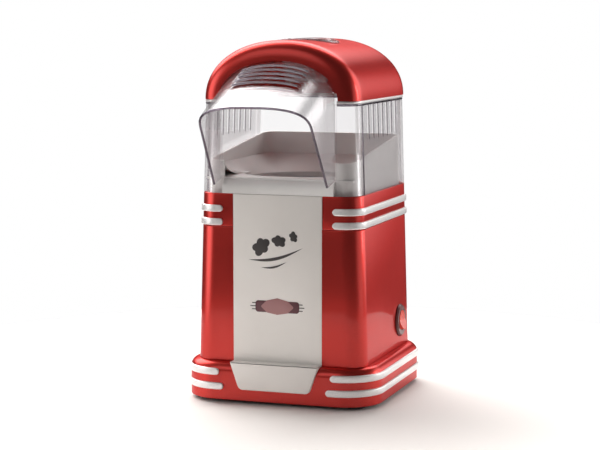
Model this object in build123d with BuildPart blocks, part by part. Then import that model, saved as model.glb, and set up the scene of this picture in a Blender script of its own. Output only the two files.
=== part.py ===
from build123d import *
import math
import os

# Household hot-air popcorn maker, every physical piece as its own solid.
# Millimetres, +Z up, the front faces -Y and +X is the right-hand side seen from the front.
# The origin is on the surface that the rubber feet stand on, under the middle of the body.

# Heights of the main joints, from the ground up
FOOT_HEIGHT = 3.0
PLINTH_TOP = 34.4
SPLIT_Z = 146.5  # the cover lifts off the base here
RING_TOP = 174.0  # the clear walls start here
HOUSING_TOP = 248.4  # the clear walls end here
DOME_BASE = 250.8
OVERALL_HEIGHT = 300.5

# Plinth
PLINTH_SIDE = 167.0
PLINTH_RADIUS = 32.0
PLINTH_EDGE_RADIUS = 8.0
PLINTH_WALL = 2.5
PLINTH_AIR_RADIUS = 62.0
BOTTOM_THICKNESS = 2.5

# Column, a rounded rectangle whose width tapers upwards
COLUMN_WIDTH_LOW = 147.0  # at PLINTH_TOP
COLUMN_WIDTH_HIGH = 133.7  # at DOME_BASE
COLUMN_DEPTH = 150.0
COLUMN_RADIUS = 16.0
WALL = 2.4
GAP = 0.3  # assembly clearance between neighbouring mouldings
FRONT_Y = -COLUMN_DEPTH / 2

# Silver bands
BAND_HEIGHT = 5.8
BAND_THICKNESS = 2.4
BAND_PROUD = 1.6
BAND_EDGE_RADIUS = 1.1
PLINTH_BANDS = {"plinth_band_upper": (26.3, 48.3), "plinth_band_lower": (14.2, 44.5)}  # z, tip x
COVER_BANDS = {"cover_band_upper": (161.3, 47.5), "cover_band_lower": (150.2, 47.5)}

# White front panel and badge plate
PANEL_HALF_WIDTH = 38.4
PANEL_THICKNESS = 1.6
PANEL_PROUD = 0.3
PANEL_TOP = RING_TOP - GAP
PANEL_FACE_Y = FRONT_Y - PANEL_PROUD
BADGE_PROUD = 2.0
BADGE_TOP = 35.5
BADGE_BOTTOM = 12.5
BADGE_HALF_BOTTOM = 30.5
BADGE_CORNER_RADIUS = 4.0
BADGE_EDGE_RADIUS = 0.9

# Locating lip on the base that the cover drops over
LIP_HEIGHT = 6.0
LIP_CLEARANCE = 0.4
LIP_THICKNESS = 1.6

# Clear front cover and hood
CLEAR_WALL = 2.0
SEAM_Y = -56.0
HOOD_BACK_Y = FRONT_Y + CLEAR_WALL
HOOD_FRONT_Y = -140.0
HOOD_HALF_WIDTH = (50.3, 46.6)  # at the back plane and at the front plane
HOOD_SPRING_Z = (251.0, 225.5)
HOOD_PEAK_Z = (282.0, 247.4)
HOOD_SHARPNESS = (2.0, 2.8)
HOOD_FLOOR_Z = 172.0
HOOD_GAP = 1.0  # between the hood and the dome's opening
MOUTH_LOW = (-92.3, 183.0)  # y and z of the lower front corner of the hood's sides
MOUTH_HIGH = (-138.0, 248.5)
HOOD_SIDE_BOTTOM = 187.2
LOUVRE_COUNT = 5
LOUVRE_PITCH = 6.2
LOUVRE_FIRST_Y = -82.0
LOUVRE_HALF_WIDTH = 29.0
LOUVRE_SLOT = 1.6

# Side vents of the clear housing
VENT_COUNT = 7
VENT_PITCH = 13.4
VENT_FIRST_Y = -38.0
VENT_WIDTH = 1.8
VENT_BOTTOM = 220.0

# Dome and measuring cup
DOME_HALF_WIDTH = COLUMN_WIDTH_HIGH / 2
CUP_FLANGE = 0.9
CUP_LIFT = 0.3  # gap under the flange
DOME_RISE = OVERALL_HEIGHT - CUP_FLANGE - CUP_LIFT - DOME_BASE
DOME_FRONT_FILLET = 16.0
DOME_REAR_FILLET = 12.0
CUP_HOLE_RADIUS = 25.0
CUP_FLANGE_RADIUS = 28.0
CUP_TOP_RADIUS = 23.5
CUP_BOTTOM_RADIUS = 18.5
CUP_BOTTOM_Z = 263.0
CUP_WALL = 1.6

# Popcorn chute
CHUTE_WALL = 2.0
CHUTE_BOTTOM = 154.0
CHUTE_INSET = WALL + LIP_CLEARANCE + LIP_THICKNESS + GAP
CHUTE_TOP_FRONT = 200.0
CHUTE_TOP_REAR = 217.0
FUNNEL_TOP = 197.0
FUNNEL_BOTTOM = 183.0
COLLAR_RADIUS = 48.0
COLLAR_BOTTOM = 160.5
LIP_TOP_Z = 187.0
SPOUT_HALF_WIDTH = 48.0
SPOUT_RADIUS = 10.0

# Popping chamber, heater and air duct
CHAMBER_RADIUS = 46.0
CHAMBER_WALL = 1.0
CHAMBER_BOTTOM = 86.0
CHAMBER_TOP = 179.0
CHAMBER_SLOTS = 24
CHAMBER_SLOT_SIZE = (12.0, 2.0)
CHAMBER_SLOT_ANGLE = 55.0
CHAMBER_SLOT_Z = 101.0
CHAMBER_FOOT_RADIUS = 6.0
FLANGE_Z = 158.0
FLANGE_THICKNESS = 1.2
DUCT_RADIUS = 56.0
DUCT_WALL = 2.0
DUCT_BOTTOM = 62.0
HEATER_Z = 66.0
HEATER_HEIGHT = 14.0
COIL_RADII = (18.0, 29.0, 40.0)
COIL_WIRE_RADIUS = 1.6
MICA_THICKNESS = 1.0

# Fan, motor and their supports
CHASSIS_THICKNESS = 3.0
CHASSIS_TOP = PLINTH_TOP + CHASSIS_THICKNESS
BRACKET_THICKNESS = 3.0
BRACKET_TOP = CHASSIS_TOP + BRACKET_THICKNESS
FAN_HOUSING_RADIUS = 59.0
FAN_HOUSING_WALL = 2.4
FAN_RADIUS = 48.0
FAN_BOTTOM = 45.0
FAN_BLADES = 11
FAN_BLADE_HEIGHT = 12.0
FAN_HUB_RADIUS = 9.0
FAN_BLADE_THICKNESS = 1.4
FAN_BLADE_ANGLE = 18.0
FAN_RING_WIDTH = 16.0
SHAFT_RADIUS = 1.15
BEARING_RADIUS = SHAFT_RADIUS + 0.05
MOTOR_RADIUS = 13.85
MOTOR_BOTTOM = 11.0
MOTOR_WALL = 1.0
ARMATURE_RADIUS = 9.8
MAGNET_INNER_RADIUS = 10.4
ARMATURE_HEIGHT = 13.0
ARMATURE_BOTTOM = MOTOR_BOTTOM + 7.0
COMMUTATOR_RADIUS = 2.6
COMMUTATOR_HEIGHT = 3.0
MAGNET_BOTTOM = MOTOR_BOTTOM + 5.0
MAGNET_HEIGHT = 17.0
MAGNET_GAP = 12.0
END_CAP_HEIGHT = 3.0
MOTOR_SCREW_SPACING = 16.0
MOTOR_SCREW_RADIUS = 1.25
MOTOR_SCREW_HEAD_RADIUS = 2.2
MOTOR_SCREW_HEAD_HEIGHT = 1.6
NECK_RADIUS = 3.1  # bearing neck on the motor, through the bracket
NECK_HEIGHT = 2.0

# Rocker switch on the right-hand wall
SWITCH_Y = 37.0
SWITCH_Z = 57.0
BEZEL_RADIUS = 14.0
BEZEL_THICKNESS = 2.2
BARREL_RADIUS = 11.0
BARREL_DEPTH = 17.0
ROCKER_RADIUS = 8.3
ROCKER_POCKET_RADIUS = 8.9
ROCKER_TILT = 8.0
ROCKER_PIVOT_HEIGHT = 1.0  # above the column's wall
ROCKER_DEPTH = 4.5
ROCKER_PROUD = 1.6
ROCKER_SKIRT = 1.5
POCKET_DEPTH = 8.8
BEZEL_CHAMFER = 1.4
TERMINAL_SPACING = 8.0
TERMINAL_SIZE = (4.8, 0.8)
TERMINAL_LENGTH = 7.0

# Fasteners and feet
SCREW_RADIUS = 1.75
SCREW_HEAD_RADIUS = 3.5
SCREW_HEAD_HEIGHT = 1.8
BOSS_RADIUS = 4.0
BOSS_DEPTH = 8.0
CASE_SCREWS = (124.0, 80.0)  # spacing across and along
CASE_SCREW_LENGTH = 12.0
CHASSIS_SCREWS = (112.0, 112.0)
CHASSIS_SCREW_LENGTH = 11.0
SCREW_END_GAP = 2.0
FOOT_SPACING = 128.0
FOOT_RADIUS = 8.0
FOOT_CHAMFER = 0.8
PEG_RADIUS = 3.0
PEG_PROUD = 1.0
INTAKE_SLOT_COUNT = 9
INTAKE_SLOT_PITCH = 8.0
INTAKE_SLOT_SIZE = (72.0, 4.0)

# Cord gland, with a square neck so that it cannot turn
GLAND_Z = 50.0
GLAND_SIDE = 11.0
GLAND_CORNER = 1.5
GLAND_HEAD_RADIUS = 8.5
GLAND_HEAD = 2.0
GLAND_LENGTH = 8.0
GLAND_BORE_RADIUS = 3.75

# Thermal cut-outs on the duct, rectifier board and leads
THERMOSTAT_Z = 110.0
THERMOSTAT_SIZE = (24.0, 11.0)
THERMOSTAT_CAP_RADIUS = 7.5
FUSE_Z = 125.0
FUSE_RADIUS = 2.0
FUSE_LENGTH = 11.0
FUSE_CLIP_SIZE = (12.0, 5.4)
FUSE_CLIP_HEIGHT = 5.0
BOARD_X = 8.0
BOARD_Z = 6.4
BOARD_SIZE = (42.0, 26.0)
BOARD_THICKNESS = 1.6
DIODE_RADIUS = 1.8
DIODE_HEIGHT = 6.0
WIRE_RADIUS = 1.0
WIRE_BEND = 2.0
WIRE_HATCH = (58.0, SWITCH_Y)  # opening for the leads, with its size below
WIRE_HATCH_SIZE = (8.0, 16.0)

os.makedirs("parts", exist_ok=True)


def between(pair, share):
    """Value a share of the way from the first of a pair to the second."""
    return pair[0] + (pair[1] - pair[0]) * share


def column_width(z):
    """Outer width of the tapered column at a height."""
    return between((COLUMN_WIDTH_LOW, COLUMN_WIDTH_HIGH), (z - PLINTH_TOP) / (DOME_BASE - PLINTH_TOP))


def column_section(z, inset):
    """Outline of the column at a height, moved inwards."""
    with BuildSketch(Plane.XY.offset(z)) as section:
        RectangleRounded(
            column_width(z) - 2 * inset, COLUMN_DEPTH - 2 * inset, COLUMN_RADIUS - inset
        )
    return section.sketch


def column_block(z_low, z_high, inset=0.0):
    """Solid slice of the column between two heights."""
    with BuildPart() as block:
        loft(sections=[column_section(z_low, inset), column_section(z_high, inset)], ruled=True)
    return block.part


def column_ring(z_low, z_high, outer_inset, inner_inset):
    """Wall of the column between two heights."""
    with BuildPart() as ring:
        add(column_block(z_low, z_high, outer_inset))
        add(column_block(z_low, z_high, inner_inset), mode=Mode.SUBTRACT)
    return ring.part


def plinth_block(z_low, inset=0.0):
    """Solid plinth with its rounded top edge, moved inwards on the sides and the top."""
    side = PLINTH_SIDE - 2 * inset
    with BuildPart() as block:
        with BuildSketch(Plane.XY.offset(z_low)):
            RectangleRounded(side, side, PLINTH_RADIUS - inset)
        extrude(amount=PLINTH_TOP - inset - z_low)
        fillet(block.faces().sort_by(Axis.Z)[-1].edges(), radius=PLINTH_EDGE_RADIUS - inset)
    return block.part


def trim_band(z, wall_half_x, wall_half_y, wall_radius, tip_x):
    """Silver strip round the sides and back, open at the front between two round ends."""
    outset = BAND_PROUD - BAND_THICKNESS / 2
    half_x = wall_half_x + outset
    half_y = wall_half_y + outset
    end_radius = BAND_HEIGHT / 2
    with BuildPart() as band:
        with BuildLine(Plane.XY.offset(z)) as route:
            FilletPolyline(
                (tip_x, -half_y),
                (half_x, -half_y),
                (half_x, half_y),
                (-half_x, half_y),
                (-half_x, -half_y),
                (-tip_x, -half_y),
                radius=wall_radius + outset,
            )
        with BuildSketch(Plane(origin=route.line @ 0, x_dir=(0, 0, 1), z_dir=route.line % 0)):
            RectangleRounded(BAND_HEIGHT, BAND_THICKNESS, BAND_EDGE_RADIUS)
        sweep()
        with BuildSketch(Plane.XZ):
            with Locations((0, z)):
                Rectangle(2 * (tip_x + end_radius), BAND_HEIGHT + 1)
            with Locations((tip_x + end_radius, z), (-tip_x - end_radius, z)):
                Circle(end_radius, mode=Mode.SUBTRACT)
        extrude(amount=half_y + BAND_THICKNESS, mode=Mode.SUBTRACT)
    return band.part


def column_band(z, tip_x):
    """Silver band that follows the column."""
    return trim_band(z, column_width(z) / 2, COLUMN_DEPTH / 2, COLUMN_RADIUS, tip_x)


def plinth_band(z, tip_x):
    """Silver band that follows the plinth."""
    return trim_band(z, PLINTH_SIDE / 2, PLINTH_SIDE / 2, PLINTH_RADIUS, tip_x)


def hood_section(y, inset):
    """Right half of the hood's cross-section at a depth: a straight side under a flattened arch."""
    share = (HOOD_BACK_Y - y) / (HOOD_BACK_Y - HOOD_FRONT_Y)
    half_width = between(HOOD_HALF_WIDTH, share) - inset
    spring_z = between(HOOD_SPRING_Z, share)
    rise = between(HOOD_PEAK_Z, share) - inset - spring_z
    power = 2 / between(HOOD_SHARPNESS, share)
    arch_points = [(half_width, spring_z)]
    for degrees in range(15, 90, 15):
        across = math.cos(math.radians(degrees)) ** power
        up = math.sin(math.radians(degrees)) ** power
        arch_points.append((half_width * across, spring_z + rise * up))
    arch_points.append((0, spring_z + rise))
    with BuildSketch(Plane.XZ.offset(-y)) as section:
        with BuildLine():
            Spline(*arch_points, tangents=[(0, 1), (-1, 0)])
            Polyline(
                (0, spring_z + rise),
                (0, HOOD_FLOOR_Z),
                (half_width, HOOD_FLOOR_Z),
                (half_width, spring_z),
            )
        make_face()
    return section.sketch


def hood_block(y_back, y_front, inset):
    """Solid hood between two depths."""
    with BuildPart() as block:
        loft(sections=[hood_section(y_back, inset), hood_section(y_front, inset)], ruled=True)
        mirror(about=Plane.YZ)
    return block.part


def arch_sketch(y, half_width, rise):
    """Half ellipse that stands on the dome's base line."""
    with BuildSketch(Plane.XZ.offset(-y)) as arch:
        with Locations((0, DOME_BASE)):
            Ellipse(half_width, rise)
            Rectangle(
                2 * half_width, rise, align=(Align.CENTER, Align.MAX), mode=Mode.SUBTRACT
            )
    return arch.sketch


def dome_block(inset):
    """Solid dome with rounded front and rear edges, moved inwards all round but its base."""
    y_back = COLUMN_DEPTH / 2 - inset
    with BuildPart() as block:
        arch = arch_sketch(y_back, DOME_HALF_WIDTH - inset, DOME_RISE - inset)
        extrude(to_extrude=arch, amount=2 * y_back)
        arches = block.edges().filter_by(GeomType.ELLIPSE).sort_by(Axis.Y)
        fillet(arches[0], radius=DOME_FRONT_FILLET - inset)
        fillet(arches[-1], radius=DOME_REAR_FILLET - inset)
    return block.part


def flange_arch(outset):
    """Dome outline moved outwards, at the rear of the column."""
    return arch_sketch(COLUMN_DEPTH / 2, DOME_HALF_WIDTH + outset, DOME_RISE + outset)


def cup_cone(inset):
    """Tapered body of the measuring cup, cut off along the flange's outer arch."""
    with BuildPart() as cone:
        with BuildSketch(Plane.XY.offset(CUP_BOTTOM_Z + inset)):
            Circle(CUP_BOTTOM_RADIUS - inset)
        with BuildSketch(Plane.XY.offset(OVERALL_HEIGHT + 1)):
            Circle(CUP_TOP_RADIUS - inset)
        loft()
        extrude(to_extrude=flange_arch(CUP_LIFT + CUP_FLANGE), amount=COLUMN_DEPTH, mode=Mode.INTERSECT)
    return cone.part


def funnel_block(inset, bottom_radius, drop):
    """Solid funnel from the column's outline down to a circle."""
    with BuildSketch(Plane.XY.offset(FUNNEL_BOTTOM + drop)) as mouth:
        Circle(bottom_radius)
    with BuildPart() as block:
        loft(sections=[mouth.sketch, column_section(FUNNEL_TOP, inset)])
    return block.part


def spout_block(inset, half_width):
    """Sill across the front with a rolled front edge."""
    back_y = -COLLAR_RADIUS - CHUTE_WALL
    with BuildPart() as block:
        with BuildSketch(Plane.YZ.offset(-half_width)):
            with BuildLine():
                Polyline(
                    (PANEL_FACE_Y + inset, RING_TOP),
                    (PANEL_FACE_Y + inset, LIP_TOP_Z - inset),
                    (back_y - 7, LIP_TOP_Z - inset),
                    (back_y - 7, RING_TOP),
                    close=True,
                )
            make_face()
        extrude(amount=2 * half_width)
        roll = block.edges().filter_by(Axis.X).group_by(Axis.Y)[0].sort_by(Axis.Z)[-1]
        fillet(roll, radius=SPOUT_RADIUS - inset)
    return block.part


# ---- Base: plinth, bottom, feet and outer casing ----

plinth_bands = {name: plinth_band(*place) for name, place in PLINTH_BANDS.items()}

with BuildPart() as base_plinth:
    add(plinth_block(FOOT_HEIGHT))
    add(plinth_block(FOOT_HEIGHT, PLINTH_WALL), mode=Mode.SUBTRACT)
    with BuildSketch(Plane.XY.offset(FOOT_HEIGHT + BOTTOM_THICKNESS)):
        with GridLocations(*CASE_SCREWS, 2, 2):
            Circle(BOSS_RADIUS)
    extrude(until=Until.NEXT)
    with BuildSketch(Plane.XY.offset(PLINTH_TOP - PLINTH_WALL)):
        with GridLocations(*CHASSIS_SCREWS, 2, 2):
            Circle(BOSS_RADIUS)
    extrude(amount=-BOSS_DEPTH)
    with BuildSketch(Plane.XY.offset(PLINTH_TOP)):
        Circle(PLINTH_AIR_RADIUS)
        with GridLocations(*CHASSIS_SCREWS, 2, 2):
            Circle(SCREW_RADIUS)
    extrude(amount=-PLINTH_WALL - BOSS_DEPTH - SCREW_END_GAP, mode=Mode.SUBTRACT)
    with BuildSketch(Plane.XY.offset(FOOT_HEIGHT)):
        with GridLocations(*CASE_SCREWS, 2, 2):
            Circle(SCREW_RADIUS)
    extrude(amount=CASE_SCREW_LENGTH + SCREW_END_GAP, mode=Mode.SUBTRACT)
    # opening for the leads up to the switch
    with BuildSketch(Plane.XY.offset(PLINTH_TOP)):
        with Locations(WIRE_HATCH):
            RectangleRounded(*WIRE_HATCH_SIZE, 2)
    extrude(amount=-PLINTH_WALL, mode=Mode.SUBTRACT)
    for band in plinth_bands.values():
        add(band, mode=Mode.SUBTRACT)
base_plinth.part.label = "base_plinth"
export_step(base_plinth.part, "parts/base_plinth.step")

for name, band in plinth_bands.items():
    band.label = name
    export_step(band, f"parts/{name}.step")

with BuildPart() as bottom_plate:
    plate_side = PLINTH_SIDE - 2 * (PLINTH_WALL + GAP)
    with BuildSketch(Plane.XY.offset(FOOT_HEIGHT)):
        RectangleRounded(plate_side, plate_side, PLINTH_RADIUS - PLINTH_WALL - GAP)
        with GridLocations(0, INTAKE_SLOT_PITCH, 1, INTAKE_SLOT_COUNT):
            SlotOverall(*INTAKE_SLOT_SIZE, mode=Mode.SUBTRACT)
        with GridLocations(*CASE_SCREWS, 2, 2):
            Circle(SCREW_RADIUS, mode=Mode.SUBTRACT)
        with GridLocations(FOOT_SPACING, FOOT_SPACING, 2, 2):
            Circle(PEG_RADIUS, mode=Mode.SUBTRACT)
    extrude(amount=BOTTOM_THICKNESS)
bottom_plate.part.label = "bottom_plate"
export_step(bottom_plate.part, "parts/bottom_plate.step")

with BuildPart() as rubber_feet:
    with BuildSketch():
        with GridLocations(FOOT_SPACING, FOOT_SPACING, 2, 2):
            Circle(FOOT_RADIUS)
    extrude(amount=FOOT_HEIGHT)
    chamfer(rubber_feet.faces().filter_by(Plane.XY).group_by(Axis.Z)[0].edges(), length=FOOT_CHAMFER)
    with BuildSketch(Plane.XY.offset(FOOT_HEIGHT)):
        with GridLocations(FOOT_SPACING, FOOT_SPACING, 2, 2):
            Circle(PEG_RADIUS)
    extrude(amount=BOTTOM_THICKNESS + PEG_PROUD)
rubber_feet.part.label = "rubber_feet"
export_step(rubber_feet.part, "parts/rubber_feet.step")

with BuildPart() as case_screws:
    with BuildSketch(Plane.XY.offset(FOOT_HEIGHT)):
        with GridLocations(*CASE_SCREWS, 2, 2):
            Circle(SCREW_HEAD_RADIUS)
    extrude(amount=-SCREW_HEAD_HEIGHT)
    with BuildSketch(Plane.XY.offset(FOOT_HEIGHT)):
        with GridLocations(*CASE_SCREWS, 2, 2):
            Circle(SCREW_RADIUS)
    extrude(amount=CASE_SCREW_LENGTH)
case_screws.part.label = "case_screws"
export_step(case_screws.part, "parts/case_screws.step")

switch_plane = Plane(
    origin=(column_width(SWITCH_Z) / 2, SWITCH_Y, SWITCH_Z),
    x_dir=(0, 1, 0),
    z_dir=(1, 0, (COLUMN_WIDTH_LOW - COLUMN_WIDTH_HIGH) / 2 / (DOME_BASE - PLINTH_TOP)),
)

with BuildPart() as front_panel:
    with BuildSketch(Plane.XZ.offset(-PANEL_FACE_Y)):
        with Locations((0, (PLINTH_TOP + PANEL_TOP) / 2)):
            Rectangle(2 * PANEL_HALF_WIDTH, PANEL_TOP - PLINTH_TOP)
    extrude(amount=-PANEL_THICKNESS)
front_panel.part.label = "front_panel"
export_step(front_panel.part, "parts/front_panel.step")

with BuildPart() as lower_shell:
    add(column_ring(PLINTH_TOP, SPLIT_Z, 0, WALL))
    lip_inset = WALL + LIP_CLEARANCE
    add(column_ring(SPLIT_Z - LIP_HEIGHT, SPLIT_Z, WALL, lip_inset + LIP_THICKNESS))
    add(column_ring(SPLIT_Z, SPLIT_Z + LIP_HEIGHT, lip_inset, lip_inset + LIP_THICKNESS))
    add(front_panel.part, mode=Mode.SUBTRACT)
    with BuildSketch(switch_plane):
        Circle(BARREL_RADIUS)
    extrude(amount=-3 * WALL, mode=Mode.SUBTRACT)
    with BuildSketch(Plane.XZ.offset(-COLUMN_DEPTH / 2)):
        with Locations((0, GLAND_Z)):
            RectangleRounded(GLAND_SIDE, GLAND_SIDE, GLAND_CORNER)
    extrude(amount=WALL, mode=Mode.SUBTRACT)
lower_shell.part.label = "lower_shell"
export_step(lower_shell.part, "parts/lower_shell.step")

with BuildPart() as badge_plate:
    with BuildSketch(Plane.XZ.offset(PLINTH_SIDE / 2 + BADGE_PROUD)):
        with BuildLine():
            Polyline(
                (-PANEL_HALF_WIDTH, BADGE_TOP),
                (PANEL_HALF_WIDTH, BADGE_TOP),
                (BADGE_HALF_BOTTOM, BADGE_BOTTOM),
                (-BADGE_HALF_BOTTOM, BADGE_BOTTOM),
                close=True,
            )
        make_face()
    extrude(amount=-(PLINTH_SIDE / 2 + BADGE_PROUD + PANEL_FACE_Y))
    fillet(badge_plate.edges().filter_by(Axis.Y).group_by(Axis.Z)[0], radius=BADGE_CORNER_RADIUS)
    fillet(badge_plate.faces().sort_by(Axis.Y)[0].edges(), radius=BADGE_EDGE_RADIUS)
    add(plinth_block(FOOT_HEIGHT), mode=Mode.SUBTRACT)
badge_plate.part.label = "badge_plate"
export_step(badge_plate.part, "parts/badge_plate.step")

with BuildPart() as cord_gland:
    with BuildSketch(Plane.XZ.offset(-COLUMN_DEPTH / 2 - GLAND_HEAD)):
        with Locations((0, GLAND_Z)):
            Circle(GLAND_HEAD_RADIUS)
    extrude(amount=GLAND_HEAD)
    chamfer(cord_gland.faces().sort_by(Axis.Y)[-1].edges(), length=GLAND_HEAD / 2)
    with BuildSketch(Plane.XZ.offset(-COLUMN_DEPTH / 2)):
        with Locations((0, GLAND_Z)):
            RectangleRounded(GLAND_SIDE, GLAND_SIDE, GLAND_CORNER)
    extrude(amount=GLAND_LENGTH)
    with BuildSketch(Plane.XZ.offset(-COLUMN_DEPTH / 2 - GLAND_HEAD)):
        with Locations((0, GLAND_Z)):
            Circle(GLAND_BORE_RADIUS)
    extrude(amount=GLAND_HEAD + GLAND_LENGTH, mode=Mode.SUBTRACT)
cord_gland.part.label = "cord_gland"
export_step(cord_gland.part, "parts/cord_gland.step")

# ---- Rocker switch ----

with BuildPart() as switch_body:
    with BuildSketch(switch_plane):
        Circle(BEZEL_RADIUS)
    extrude(amount=BEZEL_THICKNESS)
    chamfer(switch_body.faces().sort_by(Axis.X)[-1].edges(), length=BEZEL_CHAMFER)
    with BuildSketch(switch_plane):
        Circle(BARREL_RADIUS)
    extrude(amount=-BARREL_DEPTH)
    with BuildSketch(switch_plane.offset(BEZEL_THICKNESS)):
        Circle(ROCKER_POCKET_RADIUS)
    extrude(amount=-BEZEL_THICKNESS - POCKET_DEPTH, mode=Mode.SUBTRACT)
    with BuildSketch(switch_plane.offset(-BARREL_DEPTH)):
        with GridLocations(0, TERMINAL_SPACING, 1, 2):
            Rectangle(*TERMINAL_SIZE)
    extrude(amount=-TERMINAL_LENGTH)
switch_body.part.label = "switch_body"
export_step(switch_body.part, "parts/switch_body.step")

# The rocker turns about a line along Y just inside the bezel.
# Its two faces meet in a shallow V; at rest the lower one stands proud.
rocker_plane = switch_plane.offset(ROCKER_PIVOT_HEIGHT)
with BuildPart() as switch_rocker:
    with BuildSketch(rocker_plane.offset(-ROCKER_DEPTH)):
        Circle(ROCKER_RADIUS)
    extrude(amount=2 * ROCKER_DEPTH)
    edge_rise = ROCKER_RADIUS * math.tan(math.radians(ROCKER_TILT))
    side_plane = Plane(
        origin=rocker_plane.origin, x_dir=rocker_plane.z_dir, z_dir=-rocker_plane.x_dir
    )
    with BuildSketch(side_plane):
        with BuildLine():
            Polyline(
                (ROCKER_PROUD, 0),
                (ROCKER_PROUD + edge_rise, ROCKER_RADIUS),
                (-ROCKER_SKIRT, ROCKER_RADIUS),
                (-ROCKER_DEPTH, ROCKER_RADIUS / 2),
                (-ROCKER_DEPTH, -ROCKER_RADIUS / 2),
                (-ROCKER_SKIRT, -ROCKER_RADIUS),
                (ROCKER_PROUD + edge_rise, -ROCKER_RADIUS),
                close=True,
            )
        make_face()
    extrude(amount=2 * ROCKER_RADIUS, both=True, mode=Mode.INTERSECT)
rocker_rest = switch_rocker.part.rotate(
    Axis(rocker_plane.origin, (0, 1, 0)), -ROCKER_TILT
)
rocker_rest.label = "switch_rocker"
export_step(rocker_rest, "parts/switch_rocker.step")

# ---- Chassis, fan and motor ----

with BuildPart() as chassis_plate:
    with BuildSketch(Plane.XY.offset(PLINTH_TOP)):
        add(column_section(PLINTH_TOP, WALL + 2 * GAP))
        Circle(FAN_RADIUS, mode=Mode.SUBTRACT)
        with GridLocations(*CHASSIS_SCREWS, 2, 2):
            Circle(SCREW_RADIUS, mode=Mode.SUBTRACT)
        with Locations(WIRE_HATCH):
            RectangleRounded(*WIRE_HATCH_SIZE, 2, mode=Mode.SUBTRACT)
    extrude(amount=CHASSIS_THICKNESS)
chassis_plate.part.label = "chassis_plate"
export_step(chassis_plate.part, "parts/chassis_plate.step")

with BuildPart() as chassis_screws:
    with BuildSketch(Plane.XY.offset(CHASSIS_TOP)):
        with GridLocations(*CHASSIS_SCREWS, 2, 2):
            Circle(SCREW_HEAD_RADIUS)
    extrude(amount=SCREW_HEAD_HEIGHT)
    with BuildSketch(Plane.XY.offset(CHASSIS_TOP)):
        with GridLocations(*CHASSIS_SCREWS, 2, 2):
            Circle(SCREW_RADIUS)
    extrude(amount=-CHASSIS_SCREW_LENGTH)
chassis_screws.part.label = "chassis_screws"
export_step(chassis_screws.part, "parts/chassis_screws.step")

with BuildPart() as motor_bracket:
    with BuildSketch(Plane.XY.offset(CHASSIS_TOP)):
        Circle(FAN_HOUSING_RADIUS)
        Circle(FAN_HOUSING_RADIUS - 6, mode=Mode.SUBTRACT)
        with PolarLocations(FAN_HOUSING_RADIUS / 2, 4, start_angle=45):
            Rectangle(FAN_HOUSING_RADIUS - 4, 7)
        Circle(MOTOR_RADIUS + 3)
        Circle(NECK_RADIUS + 0.1, mode=Mode.SUBTRACT)
        with GridLocations(MOTOR_SCREW_SPACING, 0, 2, 1):
            Circle(MOTOR_SCREW_RADIUS, mode=Mode.SUBTRACT)
    extrude(amount=BRACKET_THICKNESS)
motor_bracket.part.label = "motor_bracket"
export_step(motor_bracket.part, "parts/motor_bracket.step")

with BuildPart() as motor_can:
    with BuildSketch(Plane.XY.offset(MOTOR_BOTTOM)):
        Circle(MOTOR_RADIUS)
    extrude(amount=CHASSIS_TOP - MOTOR_BOTTOM)
    fillet(motor_can.faces().sort_by(Axis.Z)[-1].edges(), radius=0.9 * MOTOR_WALL)
    with BuildSketch(Plane.XY.offset(MOTOR_BOTTOM)):
        Circle(MOTOR_RADIUS - MOTOR_WALL)
    extrude(amount=CHASSIS_TOP - MOTOR_BOTTOM - MOTOR_WALL, mode=Mode.SUBTRACT)
    with BuildSketch(Plane.XY.offset(CHASSIS_TOP)):
        Circle(NECK_RADIUS)
    extrude(amount=NECK_HEIGHT)
    with BuildSketch(Plane.XY.offset(CHASSIS_TOP + NECK_HEIGHT)):
        Circle(BEARING_RADIUS)
    extrude(amount=-NECK_HEIGHT - 2 * MOTOR_WALL, mode=Mode.SUBTRACT)
    with BuildSketch(Plane.XY.offset(CHASSIS_TOP)):
        with GridLocations(MOTOR_SCREW_SPACING, 0, 2, 1):
            Circle(MOTOR_SCREW_RADIUS)
    extrude(amount=-2 * MOTOR_WALL, mode=Mode.SUBTRACT)
motor_can.part.label = "motor_can"
export_step(motor_can.part, "parts/motor_can.step")

with BuildPart() as motor_end_cap:
    with BuildSketch(Plane.XY.offset(MOTOR_BOTTOM)):
        Circle(MOTOR_RADIUS - MOTOR_WALL)
        Circle(BEARING_RADIUS, mode=Mode.SUBTRACT)
    extrude(amount=END_CAP_HEIGHT)
    with BuildSketch(Plane.XY.offset(MOTOR_BOTTOM)):
        with GridLocations(0, 2 * MAGNET_INNER_RADIUS - 2.8, 1, 2):
            Rectangle(2.4, 0.6)
    extrude(amount=-END_CAP_HEIGHT)
motor_end_cap.part.label = "motor_end_cap"
export_step(motor_end_cap.part, "parts/motor_end_cap.step")

with BuildPart() as motor_magnets:
    with BuildSketch(Plane.XY.offset(MAGNET_BOTTOM)):
        Circle(MOTOR_RADIUS - MOTOR_WALL)
        Circle(MAGNET_INNER_RADIUS, mode=Mode.SUBTRACT)
        Rectangle(MAGNET_GAP, 2 * MOTOR_RADIUS, mode=Mode.SUBTRACT)
    extrude(amount=MAGNET_HEIGHT)
motor_magnets.part.label = "motor_magnets"
export_step(motor_magnets.part, "parts/motor_magnets.step")

with BuildPart() as motor_screws:
    with BuildSketch(Plane.XY.offset(BRACKET_TOP)):
        with GridLocations(MOTOR_SCREW_SPACING, 0, 2, 1):
            Circle(MOTOR_SCREW_HEAD_RADIUS)
    extrude(amount=MOTOR_SCREW_HEAD_HEIGHT)
    with BuildSketch(Plane.XY.offset(BRACKET_TOP)):
        with GridLocations(MOTOR_SCREW_SPACING, 0, 2, 1):
            Circle(MOTOR_SCREW_RADIUS)
    extrude(amount=-BRACKET_THICKNESS - MOTOR_WALL)
motor_screws.part.label = "motor_screws"
export_step(motor_screws.part, "parts/motor_screws.step")

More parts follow.
